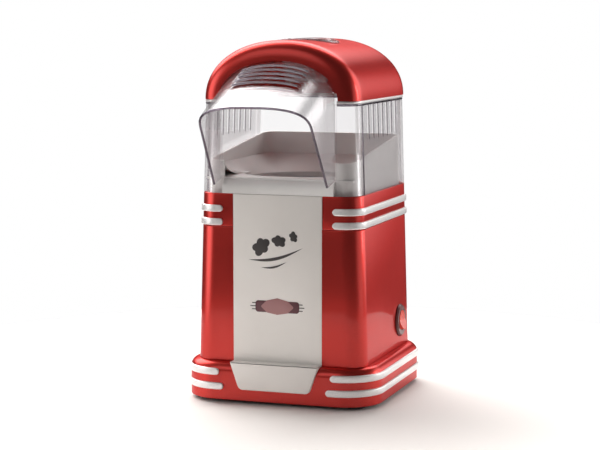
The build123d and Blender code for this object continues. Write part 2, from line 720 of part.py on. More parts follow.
with BuildPart() as motor_shaft:
    with BuildSketch(Plane.XY.offset(MOTOR_BOTTOM + 0.5)):
        Circle(SHAFT_RADIUS)
    extrude(amount=FAN_BOTTOM + FAN_BLADE_HEIGHT - MOTOR_BOTTOM - 0.5)
motor_shaft.part.label = "motor_shaft"
export_step(motor_shaft.part, "parts/motor_shaft.step")

with BuildPart() as motor_armature:
    with BuildSketch(Plane.XY.offset(ARMATURE_BOTTOM)):
        Circle(ARMATURE_RADIUS)
        Circle(ARMATURE_RADIUS - 1.6, mode=Mode.SUBTRACT)
        with PolarLocations(ARMATURE_RADIUS, 3, start_angle=60):
            Rectangle(6, 2.4, mode=Mode.SUBTRACT)
        Circle(4)
        with PolarLocations(5.5, 3):
            Rectangle(7, 3)
        Circle(SHAFT_RADIUS, mode=Mode.SUBTRACT)
    extrude(amount=ARMATURE_HEIGHT)
    with BuildSketch(Plane.XY.offset(ARMATURE_BOTTOM)):
        Circle(COMMUTATOR_RADIUS)
        Circle(SHAFT_RADIUS, mode=Mode.SUBTRACT)
    extrude(amount=-COMMUTATOR_HEIGHT)
motor_armature.part.label = "motor_armature"
export_step(motor_armature.part, "parts/motor_armature.step")

with BuildPart() as fan_impeller:
    with BuildSketch(Plane.XY.offset(FAN_BOTTOM)):
        with PolarLocations(FAN_RADIUS / 2 + 2, FAN_BLADES):
            Rectangle(FAN_RADIUS - 5, FAN_BLADE_THICKNESS, rotation=FAN_BLADE_ANGLE)
        Circle(FAN_HUB_RADIUS)
        Circle(FAN_RADIUS, mode=Mode.INTERSECT)
    extrude(amount=FAN_BLADE_HEIGHT)
    with BuildSketch(Plane.XY.offset(FAN_BOTTOM)):
        Circle(FAN_RADIUS)
        Circle(FAN_RADIUS - FAN_RING_WIDTH, mode=Mode.SUBTRACT)
    extrude(amount=FAN_BLADE_THICKNESS)
    with BuildSketch(Plane.XY.offset(FAN_BOTTOM)):
        Circle(SHAFT_RADIUS)
    extrude(amount=FAN_BLADE_HEIGHT, mode=Mode.SUBTRACT)
fan_impeller.part.label = "fan_impeller"
export_step(fan_impeller.part, "parts/fan_impeller.step")

with BuildPart() as fan_housing:
    with BuildSketch(Plane.XY.offset(BRACKET_TOP)):
        Circle(FAN_HOUSING_RADIUS)
        Circle(FAN_HOUSING_RADIUS - FAN_HOUSING_WALL, mode=Mode.SUBTRACT)
    extrude(amount=DUCT_BOTTOM - BRACKET_TOP)
    with BuildSketch(Plane.XY.offset(BRACKET_TOP)):
        Circle(FAN_HOUSING_RADIUS)
        Circle(FAN_RADIUS - 6, mode=Mode.SUBTRACT)
    extrude(amount=DUCT_WALL)
fan_housing.part.label = "fan_housing"
export_step(fan_housing.part, "parts/fan_housing.step")

# ---- Heater, duct and popping chamber ----

with BuildPart() as air_duct:
    with BuildSketch(Plane.XY.offset(DUCT_BOTTOM)):
        Circle(FAN_HOUSING_RADIUS)
        Circle(DUCT_RADIUS - DUCT_WALL, mode=Mode.SUBTRACT)
    extrude(amount=DUCT_WALL)
    with BuildSketch(Plane.XY.offset(DUCT_BOTTOM)):
        Circle(DUCT_RADIUS)
        Circle(DUCT_RADIUS - DUCT_WALL, mode=Mode.SUBTRACT)
    extrude(amount=FLANGE_Z - DUCT_BOTTOM)
air_duct.part.label = "air_duct"
export_step(air_duct.part, "parts/air_duct.step")

with BuildPart() as heating_coil:
    for radius in COIL_RADII:
        with Locations((0, 0, HEATER_Z + HEATER_HEIGHT - COIL_WIRE_RADIUS)):
            Torus(radius, COIL_WIRE_RADIUS)
heating_coil.part.label = "heating_coil"
export_step(heating_coil.part, "parts/heating_coil.step")

with BuildPart() as heater_frame:
    with BuildSketch(Plane.XY.offset(HEATER_Z)):
        Rectangle(2 * (DUCT_RADIUS - DUCT_WALL), MICA_THICKNESS)
        Rectangle(MICA_THICKNESS, 2 * (DUCT_RADIUS - DUCT_WALL))
        Circle(DUCT_RADIUS - DUCT_WALL, mode=Mode.INTERSECT)
    extrude(amount=HEATER_HEIGHT)
    for radius in COIL_RADII:
        with BuildSketch(Plane.XY.offset(HEATER_Z + HEATER_HEIGHT)):
            Circle(radius + COIL_WIRE_RADIUS + 0.1)
            Circle(radius - COIL_WIRE_RADIUS - 0.1, mode=Mode.SUBTRACT)
        extrude(amount=-2 * COIL_WIRE_RADIUS, mode=Mode.SUBTRACT)
heater_frame.part.label = "heater_frame"
export_step(heater_frame.part, "parts/heater_frame.step")

with BuildPart() as popping_chamber:
    with BuildSketch(Plane.XY.offset(CHAMBER_BOTTOM)):
        Circle(CHAMBER_RADIUS)
    extrude(amount=CHAMBER_TOP - CHAMBER_BOTTOM)
    fillet(popping_chamber.faces().sort_by(Axis.Z)[0].edges(), radius=CHAMBER_FOOT_RADIUS)
    with BuildSketch(Plane.XY.offset(CHAMBER_BOTTOM + CHAMBER_WALL)):
        Circle(CHAMBER_RADIUS - CHAMBER_FOOT_RADIUS)
    with BuildSketch(Plane.XY.offset(CHAMBER_BOTTOM + CHAMBER_FOOT_RADIUS)):
        Circle(CHAMBER_RADIUS - CHAMBER_WALL)
    loft(mode=Mode.SUBTRACT)
    with BuildSketch(Plane.XY.offset(CHAMBER_BOTTOM + CHAMBER_FOOT_RADIUS)):
        Circle(CHAMBER_RADIUS - CHAMBER_WALL)
    extrude(amount=CHAMBER_TOP - CHAMBER_BOTTOM, mode=Mode.SUBTRACT)
    with BuildSketch(Plane.XY.offset(FLANGE_Z)):
        Circle(DUCT_RADIUS)
        Circle(CHAMBER_RADIUS - CHAMBER_WALL, mode=Mode.SUBTRACT)
    extrude(amount=FLANGE_THICKNESS)
    for index in range(CHAMBER_SLOTS):
        turn = 360 / CHAMBER_SLOTS * index
        slot_plane = Plane(
            origin=(
                CHAMBER_RADIUS * math.cos(math.radians(turn)),
                CHAMBER_RADIUS * math.sin(math.radians(turn)),
                CHAMBER_SLOT_Z,
            ),
            x_dir=(-math.sin(math.radians(turn)), math.cos(math.radians(turn)), 0),
            z_dir=(math.cos(math.radians(turn)), math.sin(math.radians(turn)), 0),
        )
        with BuildSketch(slot_plane):
            SlotOverall(*CHAMBER_SLOT_SIZE, rotation=CHAMBER_SLOT_ANGLE)
        extrude(amount=3 * CHAMBER_WALL, both=True, mode=Mode.SUBTRACT)
popping_chamber.part.label = "popping_chamber"
export_step(popping_chamber.part, "parts/popping_chamber.step")

with BuildPart() as thermostat:
    with BuildSketch(Plane.XZ.offset(-DUCT_RADIUS + 1)):
        with Locations((0, THERMOSTAT_Z)):
            RectangleRounded(*THERMOSTAT_SIZE, 3)
    extrude(amount=-3)
    with BuildSketch(Plane.XZ.offset(-DUCT_RADIUS - 2)):
        with Locations((0, THERMOSTAT_Z)):
            Circle(THERMOSTAT_CAP_RADIUS)
    extrude(amount=-6)
    with BuildSketch():
        Circle(DUCT_RADIUS)
    extrude(amount=DOME_BASE, mode=Mode.SUBTRACT)
thermostat.part.label = "thermostat"
export_step(thermostat.part, "parts/thermostat.step")

with BuildPart() as thermal_fuse:
    with BuildSketch(Plane.XY.offset(FUSE_Z)):
        with Locations((0, DUCT_RADIUS + FUSE_RADIUS)):
            Circle(FUSE_RADIUS)
    extrude(amount=FUSE_LENGTH)
    with BuildSketch(Plane.XY.offset(FUSE_Z + (FUSE_LENGTH - FUSE_CLIP_HEIGHT) / 2)):
        with Locations((0, DUCT_RADIUS + FUSE_RADIUS)):
            RectangleRounded(*FUSE_CLIP_SIZE, 1)
    extrude(amount=FUSE_CLIP_HEIGHT)
    with BuildSketch():
        Circle(DUCT_RADIUS)
    extrude(amount=DOME_BASE, mode=Mode.SUBTRACT)
thermal_fuse.part.label = "thermal_fuse"
export_step(thermal_fuse.part, "parts/thermal_fuse.step")

with BuildPart() as rectifier_board:
    with BuildSketch(Plane.XY.offset(BOARD_Z)):
        with Locations((BOARD_X, 0)):
            RectangleRounded(*BOARD_SIZE, 2)
    extrude(amount=BOARD_THICKNESS)
    with BuildSketch(Plane.XY.offset(BOARD_Z + BOARD_THICKNESS)):
        with Locations((BOARD_X + BOARD_SIZE[0] / 3, 0)):
            with GridLocations(6, 8, 2, 2):
                Circle(DIODE_RADIUS)
    extrude(amount=DIODE_HEIGHT)
rectifier_board.part.label = "rectifier_board"
export_step(rectifier_board.part, "parts/rectifier_board.step")

with BuildPart() as internal_wires:
    lead_x = switch_plane.origin.X - BARREL_DEPTH - 3
    hatch_x = WIRE_HATCH[0]
    routes = {
        "mains_lead": [
            (2, 65, GLAND_Z),
            (38, 63.5, GLAND_Z + 1),
            (lead_x, 52, SWITCH_Z - 4),
            (lead_x, SWITCH_Y + 2.4, SWITCH_Z - 4),
        ],
        "board_lead": [
            (lead_x, SWITCH_Y - 2.4, SWITCH_Z + 4),
            (lead_x, SWITCH_Y - 5.5, SWITCH_Z + 4),
            (lead_x, SWITCH_Y - 5.5, 45),
            (hatch_x, 35, CHASSIS_TOP),
            (hatch_x, 35, 22),
            (42, 20, 14),
            (29, 4, 14),
            (29, 4, BOARD_Z + BOARD_THICKNESS),
        ],
    }
    for points in routes.values():
        with BuildLine() as route:
            FilletPolyline(*points, radius=WIRE_BEND)
        with BuildSketch(Plane(origin=route.line @ 0, z_dir=route.line % 0)):
            Circle(WIRE_RADIUS)
        sweep()
internal_wires.part.label = "internal_wires"
export_step(internal_wires.part, "parts/internal_wires.step")

# ---- Lift-off cover ----

cover_bands = {name: column_band(*place) for name, place in COVER_BANDS.items()}

with BuildPart() as upper_ring:
    add(column_ring(SPLIT_Z, RING_TOP, 0, WALL))
    with BuildSketch(Plane.XZ.offset(-FRONT_Y - 2 * WALL)):
        with Locations((0, (SPLIT_Z + RING_TOP) / 2)):
            Rectangle(2 * (PANEL_HALF_WIDTH + GAP), RING_TOP - SPLIT_Z + 2)
    extrude(amount=4 * WALL, mode=Mode.SUBTRACT)
    for band in cover_bands.values():
        add(band, mode=Mode.SUBTRACT)
upper_ring.part.label = "upper_ring"
export_step(upper_ring.part, "parts/upper_ring.step")

for name, band in cover_bands.items():
    band.label = name
    export_step(band, f"parts/{name}.step")

with BuildPart() as clear_front_cover:
    add(column_ring(RING_TOP, HOUSING_TOP, 0, CLEAR_WALL))
    with BuildSketch(Plane.XY.offset(RING_TOP)):
        with Locations((0, SEAM_Y)):
            Rectangle(
                2 * COLUMN_WIDTH_LOW, 2 * COLUMN_DEPTH, align=(Align.CENTER, Align.MIN)
            )
    extrude(amount=HOUSING_TOP, mode=Mode.SUBTRACT)
    add(hood_block(HOOD_BACK_Y, HOOD_FRONT_Y, 0))
    add(hood_block(HOOD_BACK_Y + 2, HOOD_FRONT_Y - 2, CLEAR_WALL), mode=Mode.SUBTRACT)
    # everything in front of the slanted mouth and under the hood's sides
    mouth_slope = (MOUTH_HIGH[1] - MOUTH_LOW[1]) / (MOUTH_HIGH[0] - MOUTH_LOW[0])
    top_z = HOOD_PEAK_Z[0]
    with BuildSketch(Plane.YZ):
        with BuildLine():
            Polyline(
                (FRONT_Y, HOOD_SIDE_BOTTOM),
                MOUTH_LOW,
                (MOUTH_LOW[0] + (top_z - MOUTH_LOW[1]) / mouth_slope, top_z),
                (HOOD_FRONT_Y - 40, top_z),
                (HOOD_FRONT_Y - 40, HOOD_FLOOR_Z - 2),
                (FRONT_Y, HOOD_FLOOR_Z - 2),
                close=True,
            )
        make_face()
    extrude(amount=COLUMN_WIDTH_LOW, both=True, mode=Mode.SUBTRACT)
    # steam louvres across the top
    with BuildSketch(Plane.XY.offset(HOOD_SPRING_Z[1])):
        for index in range(LOUVRE_COUNT):
            with Locations((0, LOUVRE_FIRST_Y - LOUVRE_PITCH * index)):
                Rectangle(2 * LOUVRE_HALF_WIDTH, LOUVRE_SLOT)
    extrude(amount=OVERALL_HEIGHT - HOOD_SPRING_Z[1], mode=Mode.SUBTRACT)
    # the arch and the jambs start at the top of the red ring
    with BuildSketch(Plane.XY.offset(HOOD_FLOOR_Z - 1)):
        Rectangle(2 * COLUMN_WIDTH_LOW, 2 * COLUMN_DEPTH)
    extrude(amount=RING_TOP - HOOD_FLOOR_Z + 1, mode=Mode.SUBTRACT)
clear_front_cover.part.label = "clear_front_cover"
export_step(clear_front_cover.part, "parts/clear_front_cover.step")

with BuildPart() as clear_housing:
    add(column_ring(RING_TOP, HOUSING_TOP, 0, CLEAR_WALL))
    with BuildSketch(Plane.XY.offset(RING_TOP)):
        with Locations((0, SEAM_Y + GAP)):
            Rectangle(
                2 * COLUMN_WIDTH_LOW, 2 * COLUMN_DEPTH, align=(Align.CENTER, Align.MAX)
            )
    extrude(amount=HOUSING_TOP, mode=Mode.SUBTRACT)
    with BuildSketch(Plane.YZ):
        for index in range(VENT_COUNT):
            with Locations((VENT_FIRST_Y + VENT_PITCH * index, VENT_BOTTOM)):
                Rectangle(VENT_WIDTH, HOUSING_TOP, align=(Align.CENTER, Align.MIN))
    extrude(amount=COLUMN_WIDTH_LOW, both=True, mode=Mode.SUBTRACT)
clear_housing.part.label = "clear_housing"
export_step(clear_housing.part, "parts/clear_housing.step")

with BuildPart() as dome_trim:
    add(column_ring(HOUSING_TOP, DOME_BASE, -0.5, WALL))
    with BuildSketch(Plane.XZ.offset(-FRONT_Y - 3 * WALL)):
        with Locations((0, DOME_BASE)):
            Rectangle(2 * (HOOD_HALF_WIDTH[0] + GAP), 6 * WALL)
    extrude(amount=6 * WALL, mode=Mode.SUBTRACT)
dome_trim.part.label = "dome_trim"
export_step(dome_trim.part, "parts/dome_trim.step")

with BuildPart() as dome_cover:
    add(dome_block(0))
    add(dome_block(WALL), mode=Mode.SUBTRACT)
    opening = arch_sketch(
        FRONT_Y + 6 * WALL,
        HOOD_HALF_WIDTH[0] + HOOD_GAP,
        HOOD_PEAK_Z[0] - DOME_BASE + HOOD_GAP,
    )
    extrude(to_extrude=opening, amount=8 * WALL, mode=Mode.SUBTRACT)
    with BuildSketch(Plane.XY.offset(DOME_BASE)):
        Circle(CUP_HOLE_RADIUS)
    extrude(amount=OVERALL_HEIGHT, mode=Mode.SUBTRACT)
dome_cover.part.label = "dome_cover"
export_step(dome_cover.part, "parts/dome_cover.step")

with BuildPart() as measuring_cup:
    extrude(to_extrude=flange_arch(CUP_LIFT + CUP_FLANGE), amount=COLUMN_DEPTH)
    extrude(to_extrude=flange_arch(CUP_LIFT), amount=COLUMN_DEPTH, mode=Mode.SUBTRACT)
    with BuildSketch(Plane.XY.offset(DOME_BASE + DOME_RISE / 2)):
        Circle(CUP_FLANGE_RADIUS)
    extrude(amount=DOME_RISE, mode=Mode.INTERSECT)
    add(cup_cone(0))
    add(cup_cone(CUP_WALL), mode=Mode.SUBTRACT)
measuring_cup.part.label = "measuring_cup"
export_step(measuring_cup.part, "parts/measuring_cup.step")

with BuildPart() as popcorn_chute:
    # skirt inside the ring and the clear walls, its top edge rising to the rear
    add(column_ring(CHUTE_BOTTOM, CHUTE_TOP_REAR, CHUTE_INSET, CHUTE_INSET + CHUTE_WALL))
    # funnel from the skirt down to the collar round the popping chamber
    add(funnel_block(CHUTE_INSET + CHUTE_WALL / 2, COLLAR_RADIUS + CHUTE_WALL, -CHUTE_WALL))
    add(funnel_block(CHUTE_INSET + 2 * CHUTE_WALL, COLLAR_RADIUS, 0), mode=Mode.SUBTRACT)
    with BuildSketch(Plane.XY.offset(FUNNEL_BOTTOM)):
        Circle(COLLAR_RADIUS + CHUTE_WALL)
    extrude(amount=COLLAR_BOTTOM - FUNNEL_BOTTOM)
    with BuildSketch(Plane.XY.offset(FUNNEL_BOTTOM + 1)):
        Circle(COLLAR_RADIUS)
    extrude(amount=COLLAR_BOTTOM - FUNNEL_BOTTOM - 1, mode=Mode.SUBTRACT)
    # slanted top edge
    with BuildSketch(Plane.YZ):
        with BuildLine():
            Polyline(
                (FRONT_Y, CHUTE_TOP_FRONT),
                (-FRONT_Y, CHUTE_TOP_REAR),
                (-FRONT_Y, DOME_BASE),
                (FRONT_Y, DOME_BASE),
                close=True,
            )
        make_face()
    extrude(amount=COLUMN_WIDTH_LOW, both=True, mode=Mode.SUBTRACT)
    # way out to the front, level with the top of the spout
    with BuildSketch(Plane.XY.offset(LIP_TOP_Z)):
        with Locations((0, FRONT_Y)):
            Rectangle(
                2 * SPOUT_HALF_WIDTH, COLUMN_DEPTH / 3, align=(Align.CENTER, Align.MIN)
            )
    extrude(amount=DOME_BASE - LIP_TOP_Z, mode=Mode.SUBTRACT)
    # floor of the way out, from the spout back to the funnel
    with BuildSketch(Plane.XY.offset(LIP_TOP_Z)):
        with Locations((0, FRONT_Y + CHUTE_INSET)):
            Rectangle(
                2 * SPOUT_HALF_WIDTH, COLUMN_DEPTH / 3, align=(Align.CENTER, Align.MIN)
            )
    extrude(amount=-CHUTE_WALL)
    add(funnel_block(CHUTE_INSET + 2 * CHUTE_WALL, COLLAR_RADIUS, 0), mode=Mode.SUBTRACT)
    # hollow spout that rolls over the top of the front panel
    add(spout_block(0, SPOUT_HALF_WIDTH))
    add(spout_block(CHUTE_WALL, SPOUT_HALF_WIDTH - CHUTE_WALL), mode=Mode.SUBTRACT)
popcorn_chute.part.label = "popcorn_chute"
export_step(popcorn_chute.part, "parts/popcorn_chute.step")
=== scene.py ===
import math

import bmesh
import bpy
from mathutils import Matrix, Vector


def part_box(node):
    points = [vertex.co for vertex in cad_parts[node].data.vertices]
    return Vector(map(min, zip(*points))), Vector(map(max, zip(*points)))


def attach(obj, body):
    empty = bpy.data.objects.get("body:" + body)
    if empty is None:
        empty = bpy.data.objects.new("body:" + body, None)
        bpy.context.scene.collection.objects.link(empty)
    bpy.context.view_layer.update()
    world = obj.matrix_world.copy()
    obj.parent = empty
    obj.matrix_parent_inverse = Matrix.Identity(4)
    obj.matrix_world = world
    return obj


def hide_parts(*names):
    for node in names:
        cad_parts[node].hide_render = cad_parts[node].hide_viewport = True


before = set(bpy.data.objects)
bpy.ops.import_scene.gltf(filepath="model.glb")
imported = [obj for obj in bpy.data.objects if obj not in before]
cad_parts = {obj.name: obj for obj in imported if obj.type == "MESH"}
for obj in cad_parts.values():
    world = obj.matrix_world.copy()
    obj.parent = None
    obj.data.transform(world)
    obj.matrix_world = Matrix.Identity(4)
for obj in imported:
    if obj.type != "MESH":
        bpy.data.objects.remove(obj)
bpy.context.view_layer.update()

MM = 0.001

# ---------------------------------------------------------------- sizes: boxes of the frame's parts, and given values

plinth_low, plinth_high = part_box("base_plinth")
shell_low, shell_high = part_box("lower_shell")
ring_low, ring_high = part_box("upper_ring")
housing_low, housing_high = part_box("clear_housing")
dome_low, dome_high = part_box("dome_cover")
panel_low, panel_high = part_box("front_panel")
badge_low, badge_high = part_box("badge_plate")
cup_low, cup_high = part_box("measuring_cup")
trim_low, trim_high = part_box("dome_trim")

SPLIT_Z = ring_low.z
RING_TOP = ring_high.z
WALL = 2.4 * MM
CLEAR_WALL = 2.0 * MM
COLUMN_RADIUS = 16.0 * MM
PLINTH_RADIUS = 32.0 * MM
PLINTH_EDGE = 8.0 * MM
PLINTH_WALL = 2.5 * MM
PLINTH_DECK = 30.0 * MM  # how far in the top reaches, under the column
PLINTH_CHAMFER = 0.6 * MM
HALF_DEPTH = 75.0 * MM
FRONT_Y = -HALF_DEPTH
BAND_HEIGHT = 5.8 * MM
BAND_PROUD, BAND_SUNK = 1.6 * MM, 0.8 * MM
BAND_EDGE = 1.1 * MM
BAND_END_STEPS = 6
BAND_TIP_SHARE = 0.04  # of the band's height, left at its very tip
PANEL_HALF = panel_high.x


class Wall:
    """Upright rounded-rectangle wall whose half-width may taper between two heights."""

    def __init__(self, low, high, half_y, radius):
        self.low, self.high = low, high  # (height, half-width)
        self.half_y, self.radius = half_y, radius

    def half_x(self, z):
        (z0, x0), (z1, x1) = self.low, self.high
        return x0 + (x1 - x0) * (z - z0) / (z1 - z0)

    def point(self, station, inset, z):
        """Where a station of the outline lies, moved inwards, at a height.

        A station is (side, offset, end, normal x, normal y): side and end name the corner's centre, or
        a place between two corners, and the offset moves it across.
        """
        side, offset, end, nx, ny = station
        reach = self.radius - inset
        return Vector((
            side * (self.half_x(z) - self.radius) + offset + nx * reach,
            end * (self.half_y - self.radius) + ny * reach,
            z,
        ))


column = Wall((shell_low.z, shell_high.x), (dome_low.z, dome_high.x), HALF_DEPTH, COLUMN_RADIUS)
plinth = Wall((0.0, plinth_high.x), (1.0, plinth_high.x), plinth_high.y, PLINTH_RADIUS)


def front_station(x):
    """Station of the flat front at a place across."""
    return (0, x, -1, 0.0, -1.0)


def stations(gap=None, steps=12):
    """Stations round an outline, from the front right to the front left, open at a gap or closed."""
    found = []
    if gap is not None:
        found.append(front_station(gap))
    for quarter, (side, end) in enumerate(((1, -1), (1, 1), (-1, 1), (-1, -1))):
        for step in range(steps + 1):
            angle = math.radians(-90 + 90 * (quarter + step / steps))
            found.append((side, 0.0, end, math.cos(angle), math.sin(angle)))
    if gap is not None:
        found.append(front_station(-gap))
    return found


def rounded(corners, radius, steps=4):
    """Closed outline with every corner turned into an arc. A radius may be given per corner."""
    radii = radius if isinstance(radius, (list, tuple)) else [radius] * len(corners)
    outline = []
    count = len(corners)
    for index, corner in enumerate(corners):
        here = Vector(corner)
        before = Vector(corners[index - 1]) - here
        after = Vector(corners[(index + 1) % count]) - here
        turn = before.angle(after)
        reach = min(
            radii[index] / math.tan(turn / 2) if radii[index] else 0.0,
            0.49 * before.length,
            0.49 * after.length,
        )
        if reach < 1e-7:
            outline.append(here)
            continue
        bow = reach * math.tan(turn / 2)
        start = here + before.normalized() * reach
        centre = here + (before.normalized() + after.normalized()).normalized() * (
            bow / math.sin(turn / 2)
        )
        arm = start - centre
        end_arm = here + after.normalized() * reach - centre
        sweep = arm.angle_signed(end_arm)
        for step in range(steps + 1):
            spin = Matrix.Rotation(-sweep * step / steps, 2)
            outline.append(centre + spin @ arm)
    return outline


def piece(name, vertices, faces, body, replaced=(), slot=None, smooth=35):
    """New mesh piece that rides on a body and stands for CAD nodes."""
    mesh = bpy.data.meshes.new(name)
    mesh.from_pydata([tuple(v) for v in vertices], [], faces)
    made = bmesh.new()
    made.from_mesh(mesh)
    bmesh.ops.remove_doubles(made, verts=made.verts, dist=1e-6)
    bmesh.ops.recalc_face_normals(made, faces=made.faces)
    made.to_mesh(mesh)
    made.free()
    shade(mesh, smooth)
    item = bpy.data.objects.new(name, mesh)
    bpy.context.scene.collection.objects.link(item)
    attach(item, body)
    if replaced:
        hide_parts(*replaced)
    return item


def shade(mesh, angle):
    """Smooth shading with sharp edges where faces meet at more than an angle."""
    mesh.polygons.foreach_set("use_smooth", [True] * len(mesh.polygons))
    mesh.set_sharp_from_angle(angle=math.radians(angle))
    mesh.update()


def grid_faces(rows, columns, wrap_rows=False, wrap_columns=False):
    """Quads of a grid of vertices, listed row by row."""
    faces = []
    for r in range(rows if wrap_rows else rows - 1):
        for c in range(columns if wrap_columns else columns - 1):
            r2, c2 = (r + 1) % rows, (c + 1) % columns
            faces.append((r * columns + c, r * columns + c2, r2 * columns + c2, r2 * columns + c))
    return faces


def wrap(name, wall, profile, body, gap=None, top=None, steps=12, **kinds):
    """Closed profile of (inset, height) points carried round a wall, capped at the gap's ends."""
    round_trip = stations(gap, steps)
    vertices = []
    for station in round_trip:
        for inset, z in profile:
            point = wall.point(station, inset, z)
            if top is not None:
                point.z = min(point.z, top(point))
            vertices.append(point)
    count = len(profile)
    faces = grid_faces(len(round_trip), count, gap is None, True)
    if gap is not None:
        faces.append(tuple(range(count)))
        faces.append(tuple(range(len(vertices) - count, len(vertices))))
    return piece(name, vertices, faces, body, **kinds)


def slab(name, outline, place, thickness, edge, body, steps=3, **kinds):
    """Flat plate with a rounded front edge. The outline is in the place's XY plane, its face at +Z."""
    centre = sum(outline, Vector((0, 0))) / len(outline)
    count = len(outline)
    normals = []
    for index, here in enumerate(outline):
        along = outline[(index + 1) % count] - outline[index - 1]
        out = Vector((along.y, -along.x)).normalized()
        normals.append(out if out.dot(here - centre) > 0 else -out)
    rings = [(0.0, 0.0)]
    for step in range(steps + 1):
        angle = math.pi / 2 * step / steps
        rings.append((edge * (1 - math.cos(angle)), thickness - edge * (1 - math.sin(angle))))
    vertices = []
    for inset, height in rings:
        for here, out in zip(outline, normals):
            flat = here - out * inset
            vertices.append(place @ Vector((flat.x, flat.y, height)))
    faces = grid_faces(len(rings), count, False, True)
    faces.append(tuple(range(count)))
    faces.append(tuple(range(len(vertices) - count, len(vertices))))
    return piece(name, vertices, faces, body, **kinds)


def cut(item, cutter_vertices, cutter_faces):
    """Cuts a closed shape out of a piece."""
    mesh = bpy.data.meshes.new("cutter")
    mesh.from_pydata([tuple(v) for v in cutter_vertices], [], cutter_faces)
    tool = bpy.data.objects.new("cutter", mesh)
    bpy.context.scene.collection.objects.link(tool)
    modifier = item.modifiers.new("cut", "BOOLEAN")
    modifier.operation = "DIFFERENCE"
    modifier.solver = "EXACT"
    modifier.object = tool
    bpy.context.view_layer.update()
    result = bpy.data.meshes.new_from_object(item.evaluated_get(bpy.context.evaluated_depsgraph_get()))
    item.modifiers.clear()
    item.data = result
    bpy.data.objects.remove(tool)
    bpy.data.meshes.remove(mesh)


def drill(item, place, radius, depth, segments=64):
    """Cuts a round hole along the place's Z, from its origin on."""
    ring = [2 * math.pi * step / segments for step in range(segments)]
    vertices = [
        place @ Vector((radius * math.cos(angle), radius * math.sin(angle), height))
        for height in (0.0, depth) for angle in ring
    ]
    ends = [tuple(reversed(range(segments))), tuple(range(segments, 2 * segments))]
    cut(item, vertices, grid_faces(2, segments, False, True) + ends)


# ---------------------------------------------------------------- materials


class Paint:
    """Small helper that builds one node material."""

    def __init__(self, name, colour, roughness, **settings):
        self.material = bpy.data.materials.new(name)
        self.material.use_nodes = True
        self.tree = self.material.node_tree
        self.shader = self.tree.nodes["Principled BSDF"]
        self.shader.inputs["Base Color"].default_value = (*colour, 1)
        self.shader.inputs["Roughness"].default_value = roughness
        for socket, value in settings.items():
            self.shader.inputs[socket.replace("_", " ")].default_value = value
        self.place = self.tree.nodes.new("ShaderNodeTexCoord").outputs["Object"]

    def node(self, kind, **settings):
        made = self.tree.nodes.new(kind)
        for key, value in settings.items():
            if key in made.inputs:
                made.inputs[key].default_value = value
            else:
                setattr(made, key, value)
        return made

    def link(self, source, target):
        self.tree.links.new(source, target)

    def noise(self, scale, detail=3.0, stretch=(1, 1, 1)):
        mapping = self.node("ShaderNodeMapping")
        mapping.inputs["Scale"].default_value = stretch
        self.link(self.place, mapping.inputs["Vector"])
        texture = self.node("ShaderNodeTexNoise")
        texture.inputs["Scale"].default_value = scale
        texture.inputs["Detail"].default_value = detail
        self.link(mapping.outputs["Vector"], texture.inputs["Vector"])
        return texture.outputs["Fac"]

    def vary_colour(self, factor, dark, light, low=0.3, high=0.7):
        ramp = self.node("ShaderNodeValToRGB")
        ramp.color_ramp.elements[0].position = low
        ramp.color_ramp.elements[0].color = (*dark, 1)
        ramp.color_ramp.elements[1].position = high
        ramp.color_ramp.elements[1].color = (*light, 1)
        self.link(factor, ramp.inputs["Fac"])
        self.link(ramp.outputs["Color"], self.shader.inputs["Base Color"])

    def vary_roughness(self, factor, low, high):
        span = self.node("ShaderNodeMapRange")
        span.inputs["To Min"].default_value = low
        span.inputs["To Max"].default_value = high
        self.link(factor, span.inputs["Value"])
        self.link(span.outputs["Result"], self.shader.inputs["Roughness"])

    def bump(self, factor, strength, distance):
        bump = self.node("ShaderNodeBump")
        bump.inputs["Strength"].default_value = strength
        bump.inputs["Distance"].default_value = distance
        self.link(factor, bump.inputs["Height"])
        self.link(bump.outputs["Normal"], self.shader.inputs["Normal"])


def moulded(name, dark, light, roughness, grain, bump, **settings):
    """Moulded plastic: slight cloudiness of colour, roughness that varies, a fine grain."""
    paint = Paint(name, light, roughness, **settings)
    paint.vary_colour(paint.noise(18.0), dark, light)
    paint.vary_roughness(paint.noise(45.0, 5.0), roughness * 0.85, roughness * 1.2)
    paint.bump(paint.noise(grain, 4.0), bump, 0.0002)
    return paint.material


def candy_red():
    """Metallic flakes under a tinted lacquer, with a clear coat on top."""
    paint = Paint(
        "candy_red", (0.52, 0.038, 0.032), 0.33,
        Metallic=0.72, Coat_Weight=0.3, Coat_Roughness=0.07, Coat_IOR=1.5,
        Specular_Tint=(0.70, 0.20, 0.18, 1), Specular_IOR_Level=0.3,
    )
    paint.vary_colour(paint.noise(2600.0, 2.0), (0.47, 0.034, 0.028), (0.57, 0.044, 0.037), 0.35, 0.65)
    paint.vary_roughness(paint.noise(40.0, 4.0), 0.29, 0.36)
    paint.bump(paint.noise(3200.0, 1.0), 0.05, 0.00005)
    return paint.material


def brushed(name, colour, roughness, stretch, metallic=1.0):
    """Metal with fine lines along one direction."""
    paint = Paint(name, colour, roughness, Metallic=metallic)
    lines = paint.noise(900.0, 4.0, stretch)
    paint.vary_colour(lines, tuple(c * 0.85 for c in colour), colour)
    paint.vary_roughness(lines, roughness * 0.8, roughness * 1.25)
    paint.bump(lines, 0.15, 0.0001)
    return paint.material


